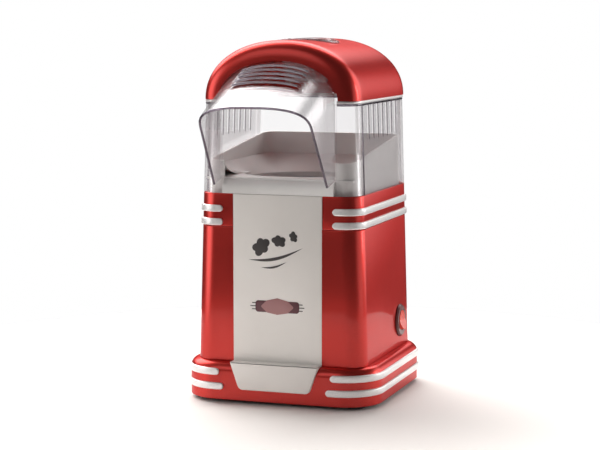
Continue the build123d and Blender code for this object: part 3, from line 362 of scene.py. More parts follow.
def clear(name, tint, body, haze, gloss=0.55):
    """Thin clear moulding: mostly see-through, more mirror-like towards grazing."""
    paint = Paint(name, body, 0.05, IOR=1.49, Metallic=0.55)
    paint.vary_colour(paint.noise(25.0), tuple(c * 0.9 for c in body), body)
    paint.vary_roughness(paint.noise(60.0, 4.0), 0.03, 0.08)
    through = paint.node("ShaderNodeBsdfTransparent")
    through.inputs["Color"].default_value = (*tint, 1)
    edge = paint.node("ShaderNodeFresnel")
    edge.inputs["IOR"].default_value = 1.45
    share = paint.node("ShaderNodeMapRange")
    share.inputs["To Min"].default_value = haze
    share.inputs["To Max"].default_value = gloss + haze
    paint.link(edge.outputs["Fac"], share.inputs["Value"])
    mix = paint.node("ShaderNodeMixShader")
    paint.link(share.outputs["Result"], mix.inputs["Fac"])
    paint.link(through.outputs["BSDF"], mix.inputs[1])
    paint.link(paint.shader.outputs["BSDF"], mix.inputs[2])
    paint.link(mix.outputs["Shader"], paint.tree.nodes["Material Output"].inputs["Surface"])
    return paint.material


RED = candy_red()
SILVER = brushed("silver_trim", (0.92, 0.90, 0.90), 0.30, (1, 1, 6), 0.3)
WHITE = moulded(
    "white_plastic", (0.82, 0.785, 0.75), (0.87, 0.835, 0.80), 0.32, 2200.0, 0.05, Coat_Weight=0.25,
)
LINER = moulded("liner_plastic", (0.83, 0.81, 0.79), (0.88, 0.865, 0.85), 0.42, 1800.0, 0.06)
CLEAR = clear("clear_plastic", (0.992, 0.988, 0.990), (0.90, 0.88, 0.90), 0.02, 0.5)
LIP = clear("clear_lip", (0.86, 0.83, 0.87), (0.62, 0.58, 0.64), 0.30)
RIM = clear("clear_rim", (0.55, 0.50, 0.56), (0.30, 0.26, 0.31), 0.35)
CUP = clear("smoked_clear", (0.93, 0.88, 0.89), (0.80, 0.72, 0.73), 0.14, 0.45)
BLACK = moulded("black_plastic", (0.018, 0.018, 0.019), (0.030, 0.030, 0.031), 0.5, 1500.0, 0.25)
GREY = moulded("duct_plastic", (0.13, 0.12, 0.12), (0.19, 0.18, 0.17), 0.55, 1500.0, 0.2)
RUBBER = moulded("foot_rubber", (0.045, 0.045, 0.046), (0.075, 0.074, 0.073), 0.75, 1300.0, 0.35)
MAROON = moulded(
    "switch_maroon", (0.11, 0.012, 0.012), (0.15, 0.018, 0.018), 0.3, 1800.0, 0.05, Coat_Weight=0.15,
)
ALUMINIUM = brushed("aluminium", (0.78, 0.78, 0.79), 0.3, (1, 1, 10))
STEEL = brushed("steel", (0.55, 0.55, 0.56), 0.35, (1, 1, 8))
FERRITE = moulded("ferrite", (0.035, 0.035, 0.036), (0.055, 0.055, 0.056), 0.6, 900.0, 0.3)
MICA = moulded("mica", (0.34, 0.29, 0.21), (0.45, 0.40, 0.31), 0.4, 700.0, 0.3)
BOARD = moulded("board_green", (0.03, 0.13, 0.06), (0.05, 0.20, 0.09), 0.35, 600.0, 0.1)
SLEEVE = moulded("wire_sleeve", (0.24, 0.22, 0.20), (0.32, 0.30, 0.28), 0.5, 1500.0, 0.1)
FUSE = moulded("fuse_white", (0.62, 0.58, 0.50), (0.72, 0.69, 0.62), 0.4, 1200.0, 0.1)
INK = moulded("dark_ink", (0.035, 0.030, 0.030), (0.060, 0.052, 0.052), 0.45, 1500.0, 0.05)
PINK_INK = moulded("pink_ink", (0.36, 0.17, 0.17), (0.44, 0.22, 0.22), 0.4, 900.0, 0.05)
MAROON_INK = moulded("maroon_ink", (0.10, 0.035, 0.045), (0.15, 0.055, 0.065), 0.4, 900.0, 0.05)


def painted_glow_red():
    """Translucent red cap whose emission is a painted glow that brightens its red."""
    # the emission below is a painted glow that lightens the cap
    paint = Paint(
        "switch_red", (0.75, 0.06, 0.04), 0.2,
        Coat_Weight=0.5, Emission_Color=(1.0, 0.09, 0.05, 1), Emission_Strength=0.2,
    )
    paint.vary_colour(paint.noise(120.0), (0.60, 0.04, 0.03), (0.85, 0.09, 0.06))
    paint.bump(paint.noise(1500.0), 0.04, 0.0001)
    return paint.material


PAINTED_GLOW_RED = painted_glow_red()


def finish_with(item, material):
    """Gives an object one material."""
    item.data.materials.clear()
    item.data.materials.append(material)
    return item


# ---------------------------------------------------------------- base

EDGE_STEPS = 8
plinth_profile = [(0.0, plinth_low.z + PLINTH_CHAMFER)]
for step in range(EDGE_STEPS + 1):
    angle = math.pi / 2 * step / EDGE_STEPS
    plinth_profile.append((
        PLINTH_EDGE * (1 - math.cos(angle)),
        plinth_high.z - PLINTH_EDGE * (1 - math.sin(angle)),
    ))
plinth_profile += [
    (PLINTH_DECK, plinth_high.z),
    (PLINTH_DECK, plinth_high.z - PLINTH_WALL),
    (PLINTH_EDGE, plinth_high.z - PLINTH_WALL),
    (PLINTH_WALL, plinth_high.z - PLINTH_EDGE),
    (PLINTH_WALL, plinth_low.z),
    (PLINTH_CHAMFER, plinth_low.z),
]
finish_with(
    wrap("plinth_shell", plinth, plinth_profile, "base", steps=16,
         replaced=["base_plinth"], slot="candy_red"),
    RED,
)


def band(name, wall, node, body, tip):
    """Silver strip with a softly crowned face and round ends, wrapped round the sides and back."""
    low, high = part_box(node)
    middle = (low.z + high.z) / 2
    half = BAND_HEIGHT / 2
    profile = rounded(
        [
            (BAND_SUNK, middle - half), (BAND_SUNK, middle + half),
            (-BAND_PROUD, middle + half), (-BAND_PROUD, middle - half),
        ],
        [0.0, 0.0, BAND_EDGE, BAND_EDGE],
    )
    right_end, left_end = [], []
    for step in range(BAND_END_STEPS):
        angle = math.pi / 2 * step / BAND_END_STEPS
        x = tip + half * (1 - math.cos(angle))
        share = max(math.sin(angle), BAND_TIP_SHARE)
        right_end.append((front_station(x), share))
        left_end.append((front_station(-x), share))
    route = right_end + [(station, 1.0) for station in stations()] + left_end[::-1]
    vertices = []
    for station, share in route:
        for inset, z in profile:
            vertices.append(wall.point(station, inset, middle + (z - middle) * share))
    count = len(profile)
    faces = grid_faces(len(route), count, False, True)
    faces.append(tuple(range(count)))
    faces.append(tuple(range(len(vertices) - count, len(vertices))))
    return finish_with(
        piece(name, vertices, faces, body, replaced=[node], slot="silver_trim", smooth=40), SILVER
    )


band("plinth_strip_upper", plinth, "plinth_band_upper", "base", 48.3 * MM)
band("plinth_strip_lower", plinth, "plinth_band_lower", "base", 44.5 * MM)
band("cover_strip_upper", column, "cover_band_upper", "cover", 47.5 * MM)
band("cover_strip_lower", column, "cover_band_lower", "cover", 47.5 * MM)

# the collar that stands up inside the cover's ring, and where it runs out into the wall below
COLLAR_NEAR, COLLAR_FAR = WALL + 0.4 * MM, WALL + 2.0 * MM
COLLAR_FOOT, COLLAR_END = SPLIT_Z - 6.0 * MM, SPLIT_Z - 9.0 * MM
shell_profile = rounded(
    [
        (0.0, shell_low.z), (0.0, SPLIT_Z), (COLLAR_NEAR, SPLIT_Z),
        (COLLAR_NEAR, shell_high.z), (COLLAR_FAR, shell_high.z),
        (COLLAR_FAR, COLLAR_FOOT), (WALL, COLLAR_END), (WALL, shell_low.z),
    ],
    [0.3 * MM, 0.7 * MM, 0.0, 0.5 * MM, 0.5 * MM, 0.5 * MM, 0.5 * MM, 0.0], 3,
)
column_shell = wrap("column_shell", column, shell_profile, "base", steps=16,
                    replaced=["lower_shell"], slot="candy_red")
# holes for the cord gland in the back and for the switch in the right side, hidden under their rims
DRILL_DEPTH = 40.0 * MM
RIM_COVER = 0.82  # the hole's width as a share of the rim's
for node, turn in (("cord_gland", Matrix.Rotation(-math.pi / 2, 4, "X")),
                   ("switch_body", Matrix.Rotation(math.pi / 2, 4, "Y"))):
    low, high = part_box(node)
    centre = (low + high) / 2
    along = turn @ Vector((0, 0, 1))
    start = centre - along * DRILL_DEPTH / 2
    drill(column_shell, Matrix.Translation(start) @ turn, RIM_COVER * (high.z - low.z) / 2, DRILL_DEPTH)
finish_with(column_shell, RED)


def front_place(y):
    """Frame whose X is the row's X, whose Y is up and whose Z faces the front."""
    return Matrix(((1, 0, 0, 0), (0, 0, -1, y), (0, 1, 0, 0), (0, 0, 0, 1)))


PANEL_CORNER = 0.4 * MM
PANEL_EDGE = 0.35 * MM
panel_outline = rounded(
    [
        (-PANEL_HALF, panel_low.z), (PANEL_HALF, panel_low.z),
        (PANEL_HALF, panel_high.z), (-PANEL_HALF, panel_high.z),
    ],
    PANEL_CORNER, 2,
)
finish_with(
    slab("white_front_panel", panel_outline, front_place(panel_high.y),
         panel_high.y - panel_low.y, PANEL_EDGE, "base", replaced=["front_panel"], slot="white_plastic"),
    WHITE,
)

BADGE_HALF_BOTTOM = 30.5 * MM
BADGE_TOP_CORNER, BADGE_LOW_CORNER = 0.6 * MM, 5.0 * MM
BADGE_EDGE = 1.0 * MM
badge_outline = rounded(
    [
        (-badge_high.x, badge_high.z), (-BADGE_HALF_BOTTOM, badge_low.z),
        (BADGE_HALF_BOTTOM, badge_low.z), (badge_high.x, badge_high.z),
    ],
    [BADGE_TOP_CORNER, BADGE_LOW_CORNER, BADGE_LOW_CORNER, BADGE_TOP_CORNER], 6,
)
finish_with(
    slab("plinth_badge_plate", badge_outline, front_place(panel_low.y),
         panel_low.y - badge_low.y, BADGE_EDGE, "base", replaced=["badge_plate"], slot="white_plastic"),
    WHITE,
)

# printed marks on the panel, each a thin film: popped corn over a sweep, and a small shield
FILM = 0.2 * MM


def film(name, outline, material, lift=0.0, slot="black_plastic"):
    """Thin printed shape on the panel. The outline is in X and Z."""
    place = front_place(panel_low.y + FILM / 4 - lift)
    made = slab(name, [Vector(point) for point in outline], place, FILM, FILM / 4, "base", slot=slot)
    return finish_with(made, material)


def blossom(centre, size, lobes, turn):
    """Outline of a popped kernel: round lobes about a middle, swollen unevenly."""
    lobe_low, lobe_depth = 0.74, 0.26
    swell_low, swell_depth = 0.88, 0.14
    count = lobes * 10
    outline = []
    for step in range(count):
        angle = 2 * math.pi * step / count
        lobe = lobe_low + lobe_depth * abs(math.sin(lobes * angle / 2 + turn))
        reach = size * lobe * (swell_low + swell_depth * math.sin(2 * angle + 5 * turn))
        outline.append((centre[0] + reach * math.cos(angle), centre[1] + reach * math.sin(angle)))
    return outline


def crescent(start, end, sag, thick):
    """Crescent from one point to another, thickest in its middle."""
    steps = 20
    run = (end[0] - start[0], end[1] - start[1])
    outline = []
    for bow, order in ((sag, range(steps)), (sag - thick, range(steps, 0, -1))):
        for step in order:
            t = step / steps
            bulge = math.sin(math.pi * t) * bow
            outline.append((start[0] + run[0] * t, start[1] + run[1] * t - bulge))
    return outline


def box_outline(left, right, low, high, radius):
    """Rectangle with round corners."""
    return rounded([(left, low), (right, low), (right, high), (left, high)], radius, 4)


KERNELS = ((-14.0, 131.0, 8.6), (1.5, 136.0, 6.4), (14.0, 140.0, 4.6))  # across, up, size, in mm
KERNEL_TURN = 0.4
for index, (x, z, size) in enumerate(KERNELS):
    film(f"panel_mark_kernel_{index + 1}",
         blossom((x * MM, z * MM), size * MM, 5, KERNEL_TURN * index), INK)
SWEEPS = {  # start, end, sag and thickness, in mm
    "long": ((-25, 120), (22, 131), 5.5, 2.6),
    "short": ((-14, 114), (8, 119), 3.0, 1.6),
}
for label, (start, end, sag, thick) in SWEEPS.items():
    start, end = [tuple(value * MM for value in point) for point in (start, end)]
    film(f"panel_mark_sweep_{label}", crescent(start, end, sag * MM, thick * MM), INK)

SHIELD_Z = 81.7 * MM
SHIELD_HALF = 19.0 * MM
SHIELD_RISE = 4.8 * MM
SHIELD_CORNER = 2.4 * MM
CENTRE_TIP, CENTRE_SHOULDER = 14.5 * MM, 9 * MM  # half-widths of the part in the middle
CENTRE_SIDE = 5 * MM
CENTRE_DROP, CENTRE_RISE = 6.6 * MM, 7.2 * MM
CENTRE_CORNER = 1.2 * MM
STRIPE_START = SHIELD_HALF - 1.0 * MM
STRIPE_END = 23.5 * MM
STRIPE_HALF = 0.35 * MM
STRIPE_PITCH = 2.6 * MM
STRIPE_STEP = 1.5 * MM  # by which the outer two are shorter
film("panel_shield_ends",
     box_outline(-SHIELD_HALF, SHIELD_HALF, SHIELD_Z - SHIELD_RISE, SHIELD_Z + SHIELD_RISE, SHIELD_CORNER),
     MAROON_INK, slot="switch_maroon")
shield_centre = [
    (-CENTRE_TIP, SHIELD_Z), (-CENTRE_SHOULDER, SHIELD_Z - CENTRE_SIDE),
    (0.0, SHIELD_Z - CENTRE_DROP), (CENTRE_SHOULDER, SHIELD_Z - CENTRE_SIDE),
    (CENTRE_TIP, SHIELD_Z), (CENTRE_SHOULDER, SHIELD_Z + CENTRE_SIDE),
    (0.0, SHIELD_Z + CENTRE_RISE), (-CENTRE_SHOULDER, SHIELD_Z + CENTRE_SIDE),
]
film("panel_shield_centre", rounded(shield_centre, CENTRE_CORNER), PINK_INK, FILM / 2, "switch_red")
for side, label in ((-1, "left"), (1, "right")):
    for index in range(3):
        z = SHIELD_Z + (index - 1) * STRIPE_PITCH
        end = STRIPE_END - abs(index - 1) * STRIPE_STEP
        near, far = sorted((side * STRIPE_START, side * end))
        film(f"panel_shield_stripe_{label}_{index + 1}",
             box_outline(near, far, z - STRIPE_HALF, z + STRIPE_HALF, 0.3 * MM), INK)

# ---------------------------------------------------------------- cover: ring, clear walls, hood


def edge_ring(low, high, thick, round_edges):
    """Closed profile of an upright wall whose outer face is at inset nought."""
    return rounded(
        [(0.0, low), (0.0, high), (thick, high), (thick, low)],
        [round_edges, round_edges, 0.4 * round_edges, 0.4 * round_edges], 3,
    )


finish_with(
    wrap("cover_ring", column, edge_ring(SPLIT_Z + 0.15 * MM, RING_TOP, WALL, 0.8 * MM), "cover",
         gap=PANEL_HALF + 0.3 * MM, steps=16, replaced=["upper_ring"], slot="candy_red"),
    RED,
)

TRIM_OUTSET = trim_high.x - column.half_x(trim_low.z)
HOOD_BACK_Y = FRONT_Y + CLEAR_WALL
HOOD_FRONT_Y = -140.0 * MM
HOOD_HALF = (50.3 * MM, 46.6 * MM)
HOOD_SPRING = (251.0 * MM, 225.5 * MM)
HOOD_PEAK = (282.0 * MM, 247.4 * MM)
HOOD_SHARPNESS = (2.0, 2.8)
SEAM_Y = housing_low.y
MOUTH_LOW = (-92.3 * MM, 183.0 * MM)
MOUTH_HIGH = (-138.0 * MM, 248.5 * MM)
SIDE_BOTTOM = 187.2 * MM

finish_with(
    wrap("trim_strip", column,
         [(inset - TRIM_OUTSET, z) for inset, z in edge_ring(
             trim_low.z, trim_high.z, WALL + TRIM_OUTSET, 0.8 * MM)],
         "cover", gap=HOOD_HALF[0] + 0.4 * MM, steps=16, replaced=["dome_trim"], slot="silver_trim"),
    SILVER,
)


def blend(pair, share):
    """Value a share of the way from the first of a pair to the second."""
    return pair[0] + (pair[1] - pair[0]) * share


def hood_point(share, turn, leg, inset):
    """Point of the hood. The turn runs 0 to pi over the arch; a leg of 1 is the foot of a side."""
    y = blend((HOOD_BACK_Y, HOOD_FRONT_Y), share)
    half = blend(HOOD_HALF, share) - inset
    spring = blend(HOOD_SPRING, share)
    rise = blend(HOOD_PEAK, share) - inset - spring
    power = 2 / blend(HOOD_SHARPNESS, share)
    across = abs(math.cos(turn)) ** power * (1 if math.cos(turn) > 0 else -1)
    up = abs(math.sin(turn)) ** power
    z = spring + rise * up
    if leg > 0:
        foot = SIDE_BOTTOM + (MOUTH_LOW[1] - SIDE_BOTTOM) * (FRONT_Y - y) / (FRONT_Y - MOUTH_LOW[0])
        z = spring + (foot - spring) * leg
    return Vector((half * across, y, z))


def mouth_y(z):
    """Where the slanted plane of the mouth lies at a height."""
    return blend((MOUTH_LOW[0], MOUTH_HIGH[0]), (z - MOUTH_LOW[1]) / (MOUTH_HIGH[1] - MOUTH_LOW[1]))


def mouth_share(turn, leg, inset):
    """How far forward a line of the hood runs before it meets the mouth's plane."""
    near, far = 0.0, 1.3
    for _ in range(40):
        middle = (near + far) / 2
        here = hood_point(middle, turn, leg, inset)
        near, far = (middle, far) if here.y > mouth_y(here.z) else (near, middle)
    return near


def shell_faces(rows, columns, keep=lambda r, c: True):
    """Faces of a plate between two grids, the second listed after the first. Cells may be left out."""
    back = rows * columns
    faces = []
    for r in range(rows - 1):
        for c in range(columns - 1):
            if not keep(r, c):
                continue
            a, b = r * columns + c, r * columns + c + 1
            d, e = a + columns, b + columns
            faces.append((a, b, e, d))
            faces.append((back + d, back + e, back + b, back + a))
            for (r2, c2), (p, q) in (
                ((r - 1, c), (a, b)), ((r + 1, c), (e, d)), ((r, c - 1), (d, a)), ((r, c + 1), (b, e)),
            ):
                if not (0 <= r2 < rows - 1 and 0 <= c2 < columns - 1 and keep(r2, c2)):
                    faces.append((q, p, back + p, back + q))
    return faces


LEG_STEPS, ARCH_STEPS = 8, 48
hood_lines = [(0.0, 1 - step / LEG_STEPS) for step in range(LEG_STEPS)]
hood_lines += [(math.pi * step / ARCH_STEPS, 0.0) for step in range(ARCH_STEPS + 1)]
hood_lines += [(math.pi, (step + 1) / LEG_STEPS) for step in range(LEG_STEPS)]

LOUVRE_COUNT = 5
LOUVRE_PITCH = 6.2 * MM
LOUVRE_FIRST = -82.0 * MM
LOUVRE_SLOT = 1.6 * MM
LOUVRE_HALF = 29.0 * MM
LOUVRE_RISE = 2.4 * MM
LOUVRE_BEAD = 0.8 * MM
LOUVRE_FADE = 3.0 * MM  # over which a louvre's lip dies away at its ends
crown_reach = HOOD_BACK_Y - hood_point(mouth_share(math.pi / 2, 0, 0), math.pi / 2, 0, 0).y
# rows over the depth: (share of the way to the mouth, height of the louvre's step, slot starts here)
hood_rows = [(0.0, 0.0, False), (0.05, 0.0, False)]
for index in range(LOUVRE_COUNT):
    middle = LOUVRE_FIRST - LOUVRE_PITCH * index
    for y, lift, is_slot in (
        (middle + LOUVRE_PITCH - LOUVRE_SLOT / 2, 0.0, False),
        (middle + LOUVRE_PITCH * 0.6, 0.35, False),
        (middle + LOUVRE_PITCH * 0.35, 0.85, False),
        (middle + LOUVRE_SLOT / 2 + 0.3 * MM, 1.0, False),
        (middle + LOUVRE_SLOT / 2, 0.9, True),
        (middle - LOUVRE_SLOT / 2, 0.0, False),
    ):
        share = (HOOD_BACK_Y - y) / crown_reach
        if share > hood_rows[-1][0] + 1e-4:
            hood_rows.append((share, lift, is_slot))
        elif is_slot or lift == 0:
            hood_rows[-1] = (hood_rows[-1][0], lift, is_slot)
last_share = hood_rows[-1][0]
for step in range(1, 9):
    hood_rows.append((last_share + (1 - last_share) * step / 8, 0.0, False))


def hood_surface(share, turn, leg, inset, lift):
    """Point of the hood a share of the way to the mouth, raised where a louvre's lip is."""
    limit = mouth_share(turn, leg, inset)
    point = hood_point(limit * share, turn, leg, inset)
    if lift > 0 and leg == 0:
        fade = min(max((LOUVRE_HALF + LOUVRE_FADE / 2 - abs(point.x)) / LOUVRE_FADE, 0.0), 1.0)
        near = hood_point(limit * share, turn + 0.02, leg, inset)
        out = Vector((0, -1, 0)).cross(near - point).normalized()
        out = out if out.z > 0 else -out
        point += out * LOUVRE_RISE * lift * fade
    return point


hood_vertices = []
for inset in (0.0, CLEAR_WALL):
    for share, lift, _ in hood_rows:
        hood_vertices += [hood_surface(share, turn, leg, inset, lift) for turn, leg in hood_lines]


def hood_keep(row, line):
    """False where a louvre's slot is."""
    turn, leg = hood_lines[line]
    if not hood_rows[row][2] or leg > 0 or line < LEG_STEPS:
        return True
    across = abs(hood_point(0.5, turn + math.pi / ARCH_STEPS / 2, 0, 0).x)
    return across > LOUVRE_HALF


front_vertices = list(hood_vertices)
front_faces = shell_faces(len(hood_rows), len(hood_lines), hood_keep)

CORNER_STEPS = 12


def side_station(side, y):
    """Station of a straight side wall at a depth."""
    return (side, 0.0, y / (HALF_DEPTH - COLUMN_RADIUS), float(side), 0.0)


# the walls beside the hood, from its sides round the corners to the seam
wing_stations = [front_station(HOOD_HALF[0] - CLEAR_WALL)]
for step in range(CORNER_STEPS + 1):
    angle = math.radians(-90 + 90 * step / CORNER_STEPS)
    wing_stations.append((1, 0.0, -1, math.cos(angle), math.sin(angle)))
wing_stations.append(side_station(1, SEAM_Y))
wall_profile = edge_ring(RING_TOP, housing_high.z, CLEAR_WALL, 0.5 * MM)
for side in (1, -1):
    start = len(front_vertices)
    for station in wing_stations:
        for inset, z in wall_profile:
            point = column.point(station, inset, z)
            point.x *= side
            front_vertices.append(point)
    count = len(wall_profile)
    wing = grid_faces(len(wing_stations), count, False, True)
    wing.append(tuple(range(count)))
    wing.append(tuple(range((len(wing_stations) - 1) * count, len(wing_stations) * count)))
    front_faces += [tuple(start + index for index in face) for face in wing]
finish_with(
    piece("clear_front_and_hood", front_vertices, front_faces, "cover",
          replaced=["clear_front_cover"], slot="clear_plastic", smooth=30),
    CLEAR,
)


def tube(name, path, radius, body, closed=False, sides=10, **kinds):
    """Round bead along a path of points."""
    vertices = []
    count = len(path)
    for index, here in enumerate(path):
        before = path[index - 1] if closed or index else here
        after = path[(index + 1) % count] if closed or index < count - 1 else here
        along = (after - before).normalized()
        across = along.cross(Vector((0.3, -1, 0.2))).normalized()
        up = along.cross(across)
        for side in range(sides):
            angle = 2 * math.pi * side / sides
            vertices.append(here + (across * math.cos(angle) + up * math.sin(angle)) * radius)
    faces = grid_faces(count, sides, closed, True)
    if not closed:
        faces.append(tuple(range(sides)))
        faces.append(tuple(range(len(vertices) - sides, len(vertices))))
    return piece(name, vertices, faces, body, **kinds)


MOUTH_BEAD = 0.95 * MM
rim_path = []
for turn, leg in hood_lines:
    limit = mouth_share(turn, leg, CLEAR_WALL / 2)
    rim_path.append(hood_point(limit, turn, leg, CLEAR_WALL / 2))
finish_with(
    tube("hood_mouth_bead", rim_path, MOUTH_BEAD, "cover",
         replaced=["clear_front_cover"], slot="clear_plastic"),
    RIM,
)

for index in range(LOUVRE_COUNT):
    lip_y = LOUVRE_FIRST - LOUVRE_PITCH * index + LOUVRE_SLOT / 2 + 0.2 * MM
    lip = [hood_surface((HOOD_BACK_Y - lip_y) / crown_reach, turn, leg, CLEAR_WALL / 2, 1.0)
           for turn, leg in hood_lines if leg == 0]
    finish_with(
        tube(f"hood_louvre_bead_{index + 1}", [point for point in lip if abs(point.x) < LOUVRE_HALF],
             LOUVRE_BEAD, "cover", replaced=["clear_front_cover"], slot="clear_plastic"),
        LIP,
    )

VENT_COUNT = 7
VENT_PITCH = 13.4 * MM
VENT_FIRST = -38.0 * MM
VENT_WIDTH = 1.8 * MM
VENT_BOTTOM = 220.0 * MM

vent_edges = []
for index in range(VENT_COUNT):
    middle = VENT_FIRST + VENT_PITCH * index
    vent_edges += [middle - VENT_WIDTH / 2, middle + VENT_WIDTH / 2]
side_marks = [SEAM_Y] + vent_edges
housing_stations = [side_station(1, y) for y in side_marks]
for quarter, (side, end) in enumerate(((1, 1), (-1, 1))):
    for step in range(CORNER_STEPS + 1):
        angle = math.radians(90 * (quarter + step / CORNER_STEPS))
        housing_stations.append((side, 0.0, end, math.cos(angle), math.sin(angle)))
housing_stations += [side_station(-1, y) for y in reversed(side_marks)]
housing_rows = [RING_TOP, VENT_BOTTOM, housing_high.z]
housing_vertices = [
    column.point(station, inset, z)
    for inset in (0.0, CLEAR_WALL) for z in housing_rows for station in housing_stations
]
vent_cells = set(range(1, 2 * VENT_COUNT, 2))  # every second cell, along both sides
last_cell = len(housing_stations) - 2
vent_cells |= {last_cell - cell for cell in vent_cells}
finish_with(
    piece("clear_walls_with_vents", housing_vertices,
          shell_faces(len(housing_rows), len(housing_stations),
                      lambda row, cell: not (row == 1 and cell in vent_cells)),
          "cover", replaced=["clear_housing"], slot="clear_plastic", smooth=30),
    CLEAR,
)

# ledges beside the lip, from the chute's floor to its side walls
LEDGE_NEAR, LEDGE_FAR = 47.0 * MM, 63.0 * MM
LEDGE_FRONT, LEDGE_BACK = FRONT_Y + 4.0 * MM, FRONT_Y + 66.0 * MM
LEDGE_TOP = SIDE_BOTTOM - 0.3 * MM
LEDGE_THICK = 1.6 * MM
LEDGE_CORNER, LEDGE_EDGE = 2.0 * MM, 0.4 * MM
for side, label in ((1, "right"), (-1, "left")):
    near, far = sorted((side * LEDGE_NEAR, side * LEDGE_FAR))
    ledge = rounded(
        [(near, LEDGE_FRONT), (far, LEDGE_FRONT), (far, LEDGE_BACK), (near, LEDGE_BACK)], LEDGE_CORNER,
    )
    finish_with(
        slab(f"chute_ledge_{label}", ledge, Matrix.Translation((0, 0, LEDGE_TOP - LEDGE_THICK)),
             LEDGE_THICK, LEDGE_EDGE, "cover", slot="white_plastic"),
        LINER,
    )

# darker beads: moulded edges along the seams and at the vents, and under the dome a dark bead that is
# painted shade for the gap below the trim
SEAM_BEAD = 0.62 * MM
VENT_BEAD = 0.3 * MM
TOP_SHADE_BEAD = 0.95 * MM


def side_bead(name, side, y, low, radius):
    """Upright bead in a side wall, from a height up to the dome."""
    ends = []
    for z in (low, housing_high.z):
        point = column.point(side_station(1, y), CLEAR_WALL / 2, z)
        ends.append(Vector((point.x * side, point.y, point.z)))
    finish_with(
        tube(name, ends, radius, "cover", replaced=["clear_housing"], slot="clear_plastic"), RIM,
    )


for side, label in ((1, "right"), (-1, "left")):
    side_bead(f"seam_bead_{label}", side, SEAM_Y, RING_TOP, SEAM_BEAD)
for side, label in ((1, "right"), (-1, "left")):
    for index in range(VENT_COUNT):
        edge_y = VENT_FIRST + VENT_PITCH * index + VENT_WIDTH / 2
        side_bead(f"vent_bead_{label}_{index + 1}", side, edge_y, VENT_BOTTOM - VENT_WIDTH, VENT_BEAD)
# dark bead along the top of the clear walls: painted shade for the gap under the trim
TOP_SHADE_BEAD_END = HOOD_HALF[0] + 0.5 * MM
top_stations = [front_station(TOP_SHADE_BEAD_END)] + stations() + [front_station(-TOP_SHADE_BEAD_END)]
top_path = [column.point(s, CLEAR_WALL / 2 - 0.3 * MM, housing_high.z - 0.8 * MM) for s in top_stations]
finish_with(
    tube("wall_top_shade_bead", top_path, TOP_SHADE_BEAD, "cover",
         replaced=["clear_housing"], slot="clear_plastic"),
    RIM,
)

# ---------------------------------------------------------------- dome and cup

DOME_HALF = dome_high.x
DOME_RISE = dome_high.z - dome_low.z
DOME_BASE = dome_low.z
FRONT_ROLL, REAR_ROLL = 18.0 * MM, 14.0 * MM
OPENING_GAP = 1.0 * MM
OPENING = (HOOD_HALF[0] + OPENING_GAP, HOOD_PEAK[0] - DOME_BASE + OPENING_GAP)
REAR_RINGS = (0.66, 0.33, 0.02)  # rows of the flat rear face, as shares of its rim
ROLL_STEPS, BARREL_STEPS = 14, 10
CUP_HOLE = 25.0 * MM
ARC_STEPS = 64
ARCH_SHARPNESS = 2.12  # 2 would be an ellipse
ROLL_SHARPNESS = 2.8


def power(value, exponent):
    """Power of a cosine or sine that keeps its sign."""
    return math.copysign(abs(value) ** exponent, value)


def arch_point(turn, inset):
    """Point of the dome's arch, a slightly squared ellipse, moved inwards square to it."""
    across, up = power(math.cos(turn), 2 / ARCH_SHARPNESS), power(math.sin(turn), 2 / ARCH_SHARPNESS)
    normal = Vector((
        power(across, ARCH_SHARPNESS - 1) / DOME_HALF, 0, power(up, ARCH_SHARPNESS - 1) / DOME_RISE,
    )).normalized()
    point = Vector((DOME_HALF * across, 0, DOME_BASE + DOME_RISE * up)) - normal * inset
    point.z = max(point.z, DOME_BASE)
    return point


def opening_inset(turn):
    """How far in from the arch the hood's opening starts."""
    low, high = 0.0, 30.0 * MM
    for _ in range(30):
        middle = (low + high) / 2
        here = arch_point(turn, middle)
        outside = (here.x / OPENING[0]) ** 2 + ((here.z - DOME_BASE) / OPENING[1]) ** 2 > 1
        low, high = (middle, high) if outside else (low, middle)
    return low


def roll_point(angle, skin, radius):
    """How far in and how far out along the depth a rolled edge has got at an angle."""
    reach = radius - skin
    return (
        skin + reach * (1 - power(math.cos(angle), 2 / ROLL_SHARPNESS)),
        reach * power(math.sin(angle), 2 / ROLL_SHARPNESS),
    )


def dome_grid(skin):
    """Rows of the dome's outer skin (0) or of its inner one (the wall's thickness)."""
    rows = []
    turns = [math.pi * count / ARC_STEPS for count in range(ARC_STEPS + 1)]
    for step in range(ROLL_STEPS + 1):  # front roll, from the opening back to the crease
        row = []
        for turn in turns:
            edge = opening_inset(turn)
            share = max(1 - (edge - skin) / (FRONT_ROLL - skin), 0.0)
            last = math.acos(share ** (ROLL_SHARPNESS / 2))
            inset, reach = roll_point(last * (1 - step / ROLL_STEPS), skin, FRONT_ROLL)
            point = arch_point(turn, inset)
            point.y = FRONT_Y + FRONT_ROLL - reach
            row.append(point)
        rows.append(row)
    for step in range(1, BARREL_STEPS + 1):
        rows.append([arch_point(turn, skin) for turn in turns])
        for point in rows[-1]:
            point.y = blend((FRONT_Y + FRONT_ROLL, HALF_DEPTH - REAR_ROLL), step / BARREL_STEPS)
    for step in range(1, ROLL_STEPS + 1):
        inset, reach = roll_point(math.pi / 2 * step / ROLL_STEPS, skin, REAR_ROLL)
        rows.append([arch_point(turn, inset) for turn in turns])
        for point in rows[-1]:
            point.y = HALF_DEPTH - REAR_ROLL + reach
    rim = rows[-1]
    for share in REAR_RINGS:
        rows.append([
            Vector((p.x * share, p.y, DOME_BASE + (p.z - DOME_BASE) * share)) for p in rim
        ])
    return rows


outer, inner = dome_grid(0.0), dome_grid(WALL)
dome_vertices = [point for grid in (outer, inner) for row in grid for point in row]
dome = piece("dome_shell", dome_vertices, shell_faces(len(outer), ARC_STEPS + 1), "cover",
             replaced=["dome_cover"], slot="candy_red", smooth=30)
drill(dome, Matrix.Translation((0, 0, DOME_BASE + DOME_RISE / 2)), CUP_HOLE, DOME_RISE)
finish_with(dome, RED)

